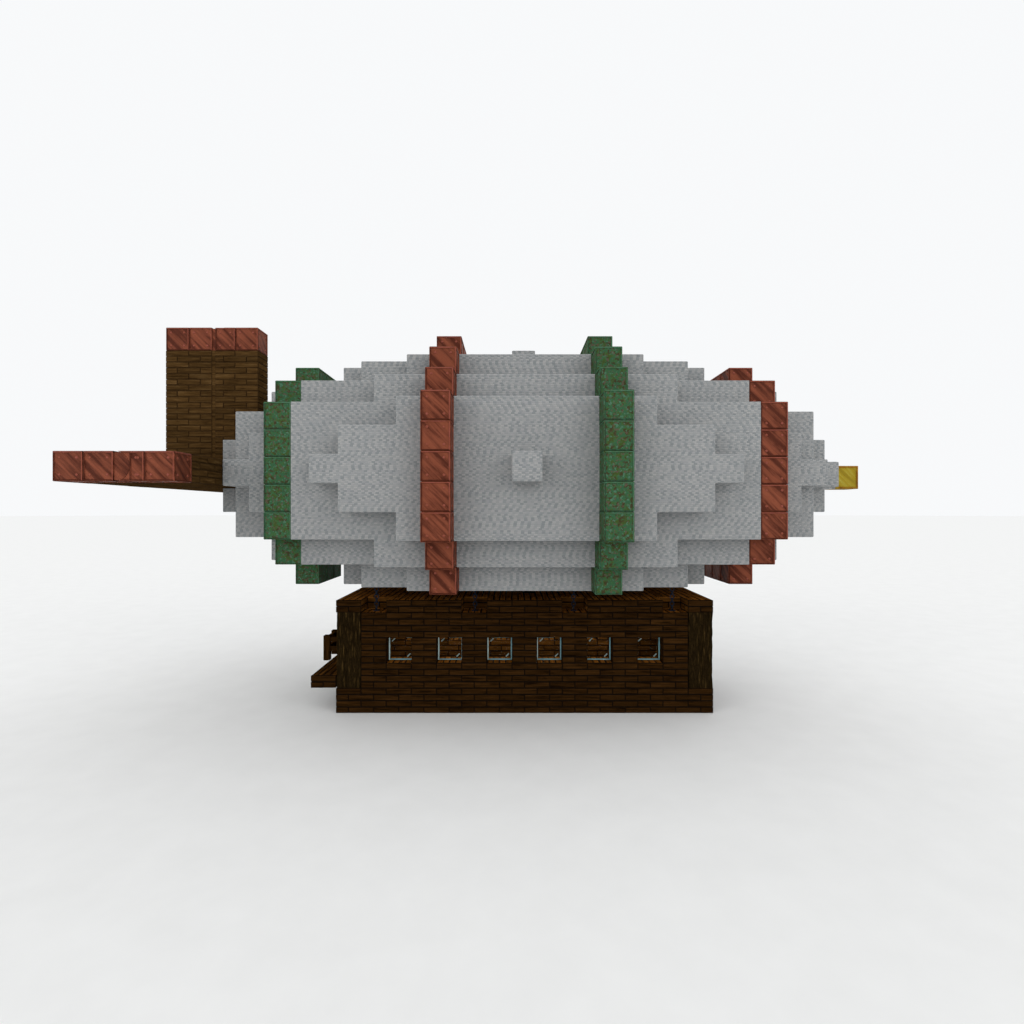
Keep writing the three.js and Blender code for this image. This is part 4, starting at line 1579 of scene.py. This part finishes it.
# Door
def dress_door():
    low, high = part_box("door")
    foot, head = DOOR_SPAN
    axis_x = (low.x + high.x) / 2
    parts = [start_piece("door_boards", [TIMBER["z"], WOODS["cabin"]["rim"]])]
    width = (high.y - DOOR_AXIS_Y) / DOOR_BOARDS
    for index in range(DOOR_BOARDS):
        start = DOOR_AXIS_Y + index * width
        board_low = (low.x + DOOR_SETBACK, start + DOOR_GAP / 2, foot)
        add_block(board_low, (axis_x + DOOR_BACK, start + width - DOOR_GAP / 2, head))
    select_faces(parts[0], lambda middle, normal: abs(normal.x) > FACING)
    bpy.ops.mesh.bevel(offset=DOOR_RIM, segments=1, affect="EDGES", material=1)
    end_piece()

    # Ledges on the inner side
    parts.append(start_piece("door_ledges", [TIMBER["y"]]))
    across = (DOOR_AXIS_Y + LEDGE_START, high.y - LEDGE_END)
    for z in LEDGE_FEET:
        along = (axis_x + LEDGE_BACK, high.x)
        add_bevelled(along, across, (z, z + LEDGE_WIDTH), LEDGE_EDGE)
    end_piece()

    # Heel and rod
    parts.append(start_piece("door_heel", [TIMBER["z"], IRON]))
    place = (axis_x, DOOR_AXIS_Y, (foot + head) / 2)
    bpy.ops.mesh.primitive_cylinder_add(
        vertices=24, radius=DOOR_HEEL, depth=head - foot, location=place
    )
    place = (axis_x, DOOR_AXIS_Y, (low.z + high.z) / 2)
    bpy.ops.mesh.primitive_cylinder_add(
        vertices=16, radius=DOOR_ROD, depth=high.z - low.z, location=place
    )
    give_finish(parts[-1], 1)
    end_piece()

    # Straps and a ring on the outer side
    parts.append(start_piece("door_straps", [IRON]))
    across = (DOOR_AXIS_Y, DOOR_AXIS_Y + STRAP_LENGTH)
    for z in STRAP_HEIGHTS:
        up = stretch_round(z, STRAP_WIDTH)
        add_bevelled((low.x, low.x + STRAP_DEPTH), across, up, STRAP_EDGE, 1)
    bpy.ops.mesh.primitive_torus_add(
        major_segments=20,
        minor_segments=8,
        major_radius=RING_RADIUS,
        minor_radius=RING_BAR / 2,
        location=(low.x - RING_PROUD, high.y - RING_INSET, RING_HEIGHT),
        rotation=(0, math.radians(90), 0),
    )
    select_all()
    give_finish(parts[-1], 0)
    end_piece()
    piece = join_pieces("door_leaf", parts)
    smooth(piece, 30)
    stand_in(piece, "door", "door_body")


# Nose block
def dress_nose_block():
    block = start_piece("nose_block_gilded", [GOLD_BORDER, GOLD_PANEL])
    add_block(*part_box("nose_block"))
    bevel(NOSE_EDGE, 3)
    select_faces(block, lambda middle, normal: max(abs(c) for c in normal) > 0.999)
    for thickness, depth in ((NOSE_BORDER, 0.0), (NOSE_SINK, -NOSE_SINK)):
        bpy.ops.mesh.inset(thickness=thickness, depth=depth, use_individual=True)
    give_finish(block, 1)
    map_sides()
    end_piece()
    smooth(block, 30)
    stand_in(block, "nose_block")


def build_airship():
    for node in sorted(frame["nodes"]):
        if node.startswith("hull_"):
            dress_hull(node)
    for hoop in HOOPS:
        dress_hoop(hoop)
    dress_nose_block()
    build_tail()
    build_cabin()


def build_tail():
    cove = HINGE_X + HINGE_COVE
    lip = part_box("fin_cap")[0].x
    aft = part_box("rudder")[0].x
    low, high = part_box("fin")
    fore = high.x
    beside_lip = (lip, fore)
    beside_cove = (cove, fore)
    moving = (aft, HINGE_X)

    # The fin and the rudder, with their caps
    upright = ["-y", "+y"]
    rows = (low.z, high.z)
    fin = panels_of({"-y": low.y, "+y": high.y}, beside_lip, rows)
    fin.append(Panel("+x", fore, (low.y + BOARD_DEPTH, high.y - BOARD_DEPTH), rows))
    dress_curved("fin", "fin", upright + ["+x"], fin, "root", upright)
    low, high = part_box("rudder")
    rows = (RUDDER_FOOT, high.z)
    rudder = panels_of({"-y": low.y, "+y": high.y}, moving, rows)
    rudder.append(Panel("-x", aft, (low.y + BOARD_DEPTH, high.y - BOARD_DEPTH), rows))
    dress_curved("rudder", "fin", upright + ["-x"], rudder, "rudder_body")
    runs = {"-y": beside_lip, "+y": beside_lip, "+z": beside_cove, "+x": beside_lip}
    dress_tip("fin_cap", runs, cleared=upright)
    dress_tip("rudder_cap", dict.fromkeys(["-y", "+y", "+z", "-x"], moving), "rudder_body")

    # The tailplane: a stub through the tail and a panel on each side of it
    flat = ["-z", "+z"]
    low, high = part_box("tailplane")
    stub = (-TAIL_STUB, TAIL_STUB)
    panels = [
        Panel("-x", low.x, stub, (low.z, high.z)),
        Panel("+x", fore, (low.y, high.y), (low.z, high.z)),
    ]
    for side, plane in (("+z", high.z), ("-z", low.z)):
        panels += [
            Panel(side, plane, stub, (low.x + BOARD_DEPTH, cove)),
            Panel(side, plane, (low.y, high.y), (cove, fore - BOARD_DEPTH)),
            Panel(side, plane, (low.y, -TAIL_STUB), (lip, cove)),
            Panel(side, plane, (TAIL_STUB, high.y), (lip, cove)),
        ]
    dress_curved("tailplane", "fin", flat + ["-x", "+x"], panels, "root", flat)
    for side_name, sign in SIDES.items():
        body = f"elevator_{side_name}_body"
        span = tuple(sorted((sign * (TAIL_STUB + HINGE_GAP), sign * TAIL_PLANKED)))
        panels = [Panel("-x", aft, span, (low.z, high.z))]
        panels += panels_of({"+z": high.z, "-z": low.z}, span, (aft + BOARD_DEPTH, HINGE_X))
        node = f"elevator_{side_name}"
        dress_curved(node, "fin", ["-x"] + flat, panels, body)
        end = "+y" if sign > 0 else "-y"
        runs = {"-z": beside_lip, "+z": beside_lip, end: beside_cove, "+x": beside_lip}
        dress_tip(f"tailplane_tip_{side_name}", runs, cleared=flat)
        runs = dict.fromkeys(["-z", "+z", end, "-x"], moving)
        dress_tip(f"elevator_tip_{side_name}", runs, body)


def panels_of(planes, run, rows):
    """Like panels on several sides"""
    return [Panel(side, plane, run, rows) for side, plane in planes.items()]


def build_cabin():
    # The floor's top takes the inner wood, which is painted light
    dress_cabin_part("cabin_floor", EVERY_SIDE, {"+z": "inner"})
    for side_name in SIDES:
        dress_side_wall(side_name)
    dress_end_wall("aft_wall", *DOORWAY_ROWS)
    dress_end_wall("fore_wall", *WINDOW_ROWS)
    dress_roof()
    # The deck's top takes the deck wood, which is painted light
    dress_cabin_part("deck", ["-y", "+y", "-x", "+z", "-z"], {"+z": "deck"})
    for end_name in ("aft", "fore"):
        for side_name in SIDES:
            dress_post(f"corner_post_{end_name}_{side_name}")
    dress_windows()
    wall_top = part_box("side_wall_port")[1].z
    for side_name in SIDES:
        for index in range(len(CHAIN_ROWS)):
            dress_chain(f"chain_{side_name}_{index + 1}", wall_top)
        dress_fence(side_name)
    dress_chain("chain_centre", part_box("chain_centre")[0].z + CROSS_BAR)
    dress_door()


def build_stage():
    deselect_all()
    bpy.ops.mesh.primitive_circle_add(
        vertices=128, radius=FLOOR_RADIUS, fill_type="NGON", location=(0, 0, FLOOR_HEIGHT)
    )
    floor = bpy.context.object
    floor.name = "pale_floor"
    floor.data.materials.append(PALE_FLOOR)
    bpy.ops.object.transform_apply(location=True)


def add_light(kind, name, energy, colour, **placing):
    deselect_all()
    bpy.ops.object.light_add(type=kind, **placing)
    light = bpy.context.object
    light.name = name
    light.data.energy = energy
    light.data.color = colour
    return light.data


def build_light():
    scene = bpy.context.scene
    scene.view_settings.view_transform = "Standard"
    world = bpy.data.worlds.new("soft_sky")
    scene.world = world
    world.use_nodes = True
    back = world.node_tree.nodes["Background"]
    back.inputs["Color"].default_value = SKY_COLOUR
    back.inputs["Strength"].default_value = SKY_STRENGTH
    for lamp in LAMPS:
        turn = (math.radians(90 - lamp["height"]), 0, math.radians(lamp["aside"]))
        sun = add_light("SUN", lamp["name"], lamp["energy"], LAMP_COLOUR, rotation=turn)
        sun.angle = math.radians(lamp["angle"])
    for x in CABIN_LIGHTS:
        place = (x, 0, CABIN_LIGHT_HEIGHT)
        light = add_light("POINT", "cabin_light", CABIN_ENERGY, CABIN_COLOUR, location=place)
        light.shadow_soft_size = 0.0


def build_camera():
    deselect_all()
    bpy.ops.object.camera_add(location=CAMERA_PLACE, rotation=(math.radians(90), 0, 0))
    camera = bpy.context.object
    camera.name = "camera"
    camera.data.sensor_width = CAMERA_SENSOR
    camera.data.lens = CAMERA_LENS
    camera.data.clip_end = CAMERA_REACH
    bpy.context.scene.camera = camera


build_camera()
build_light()
build_stage()
build_airship()
deselect_all()
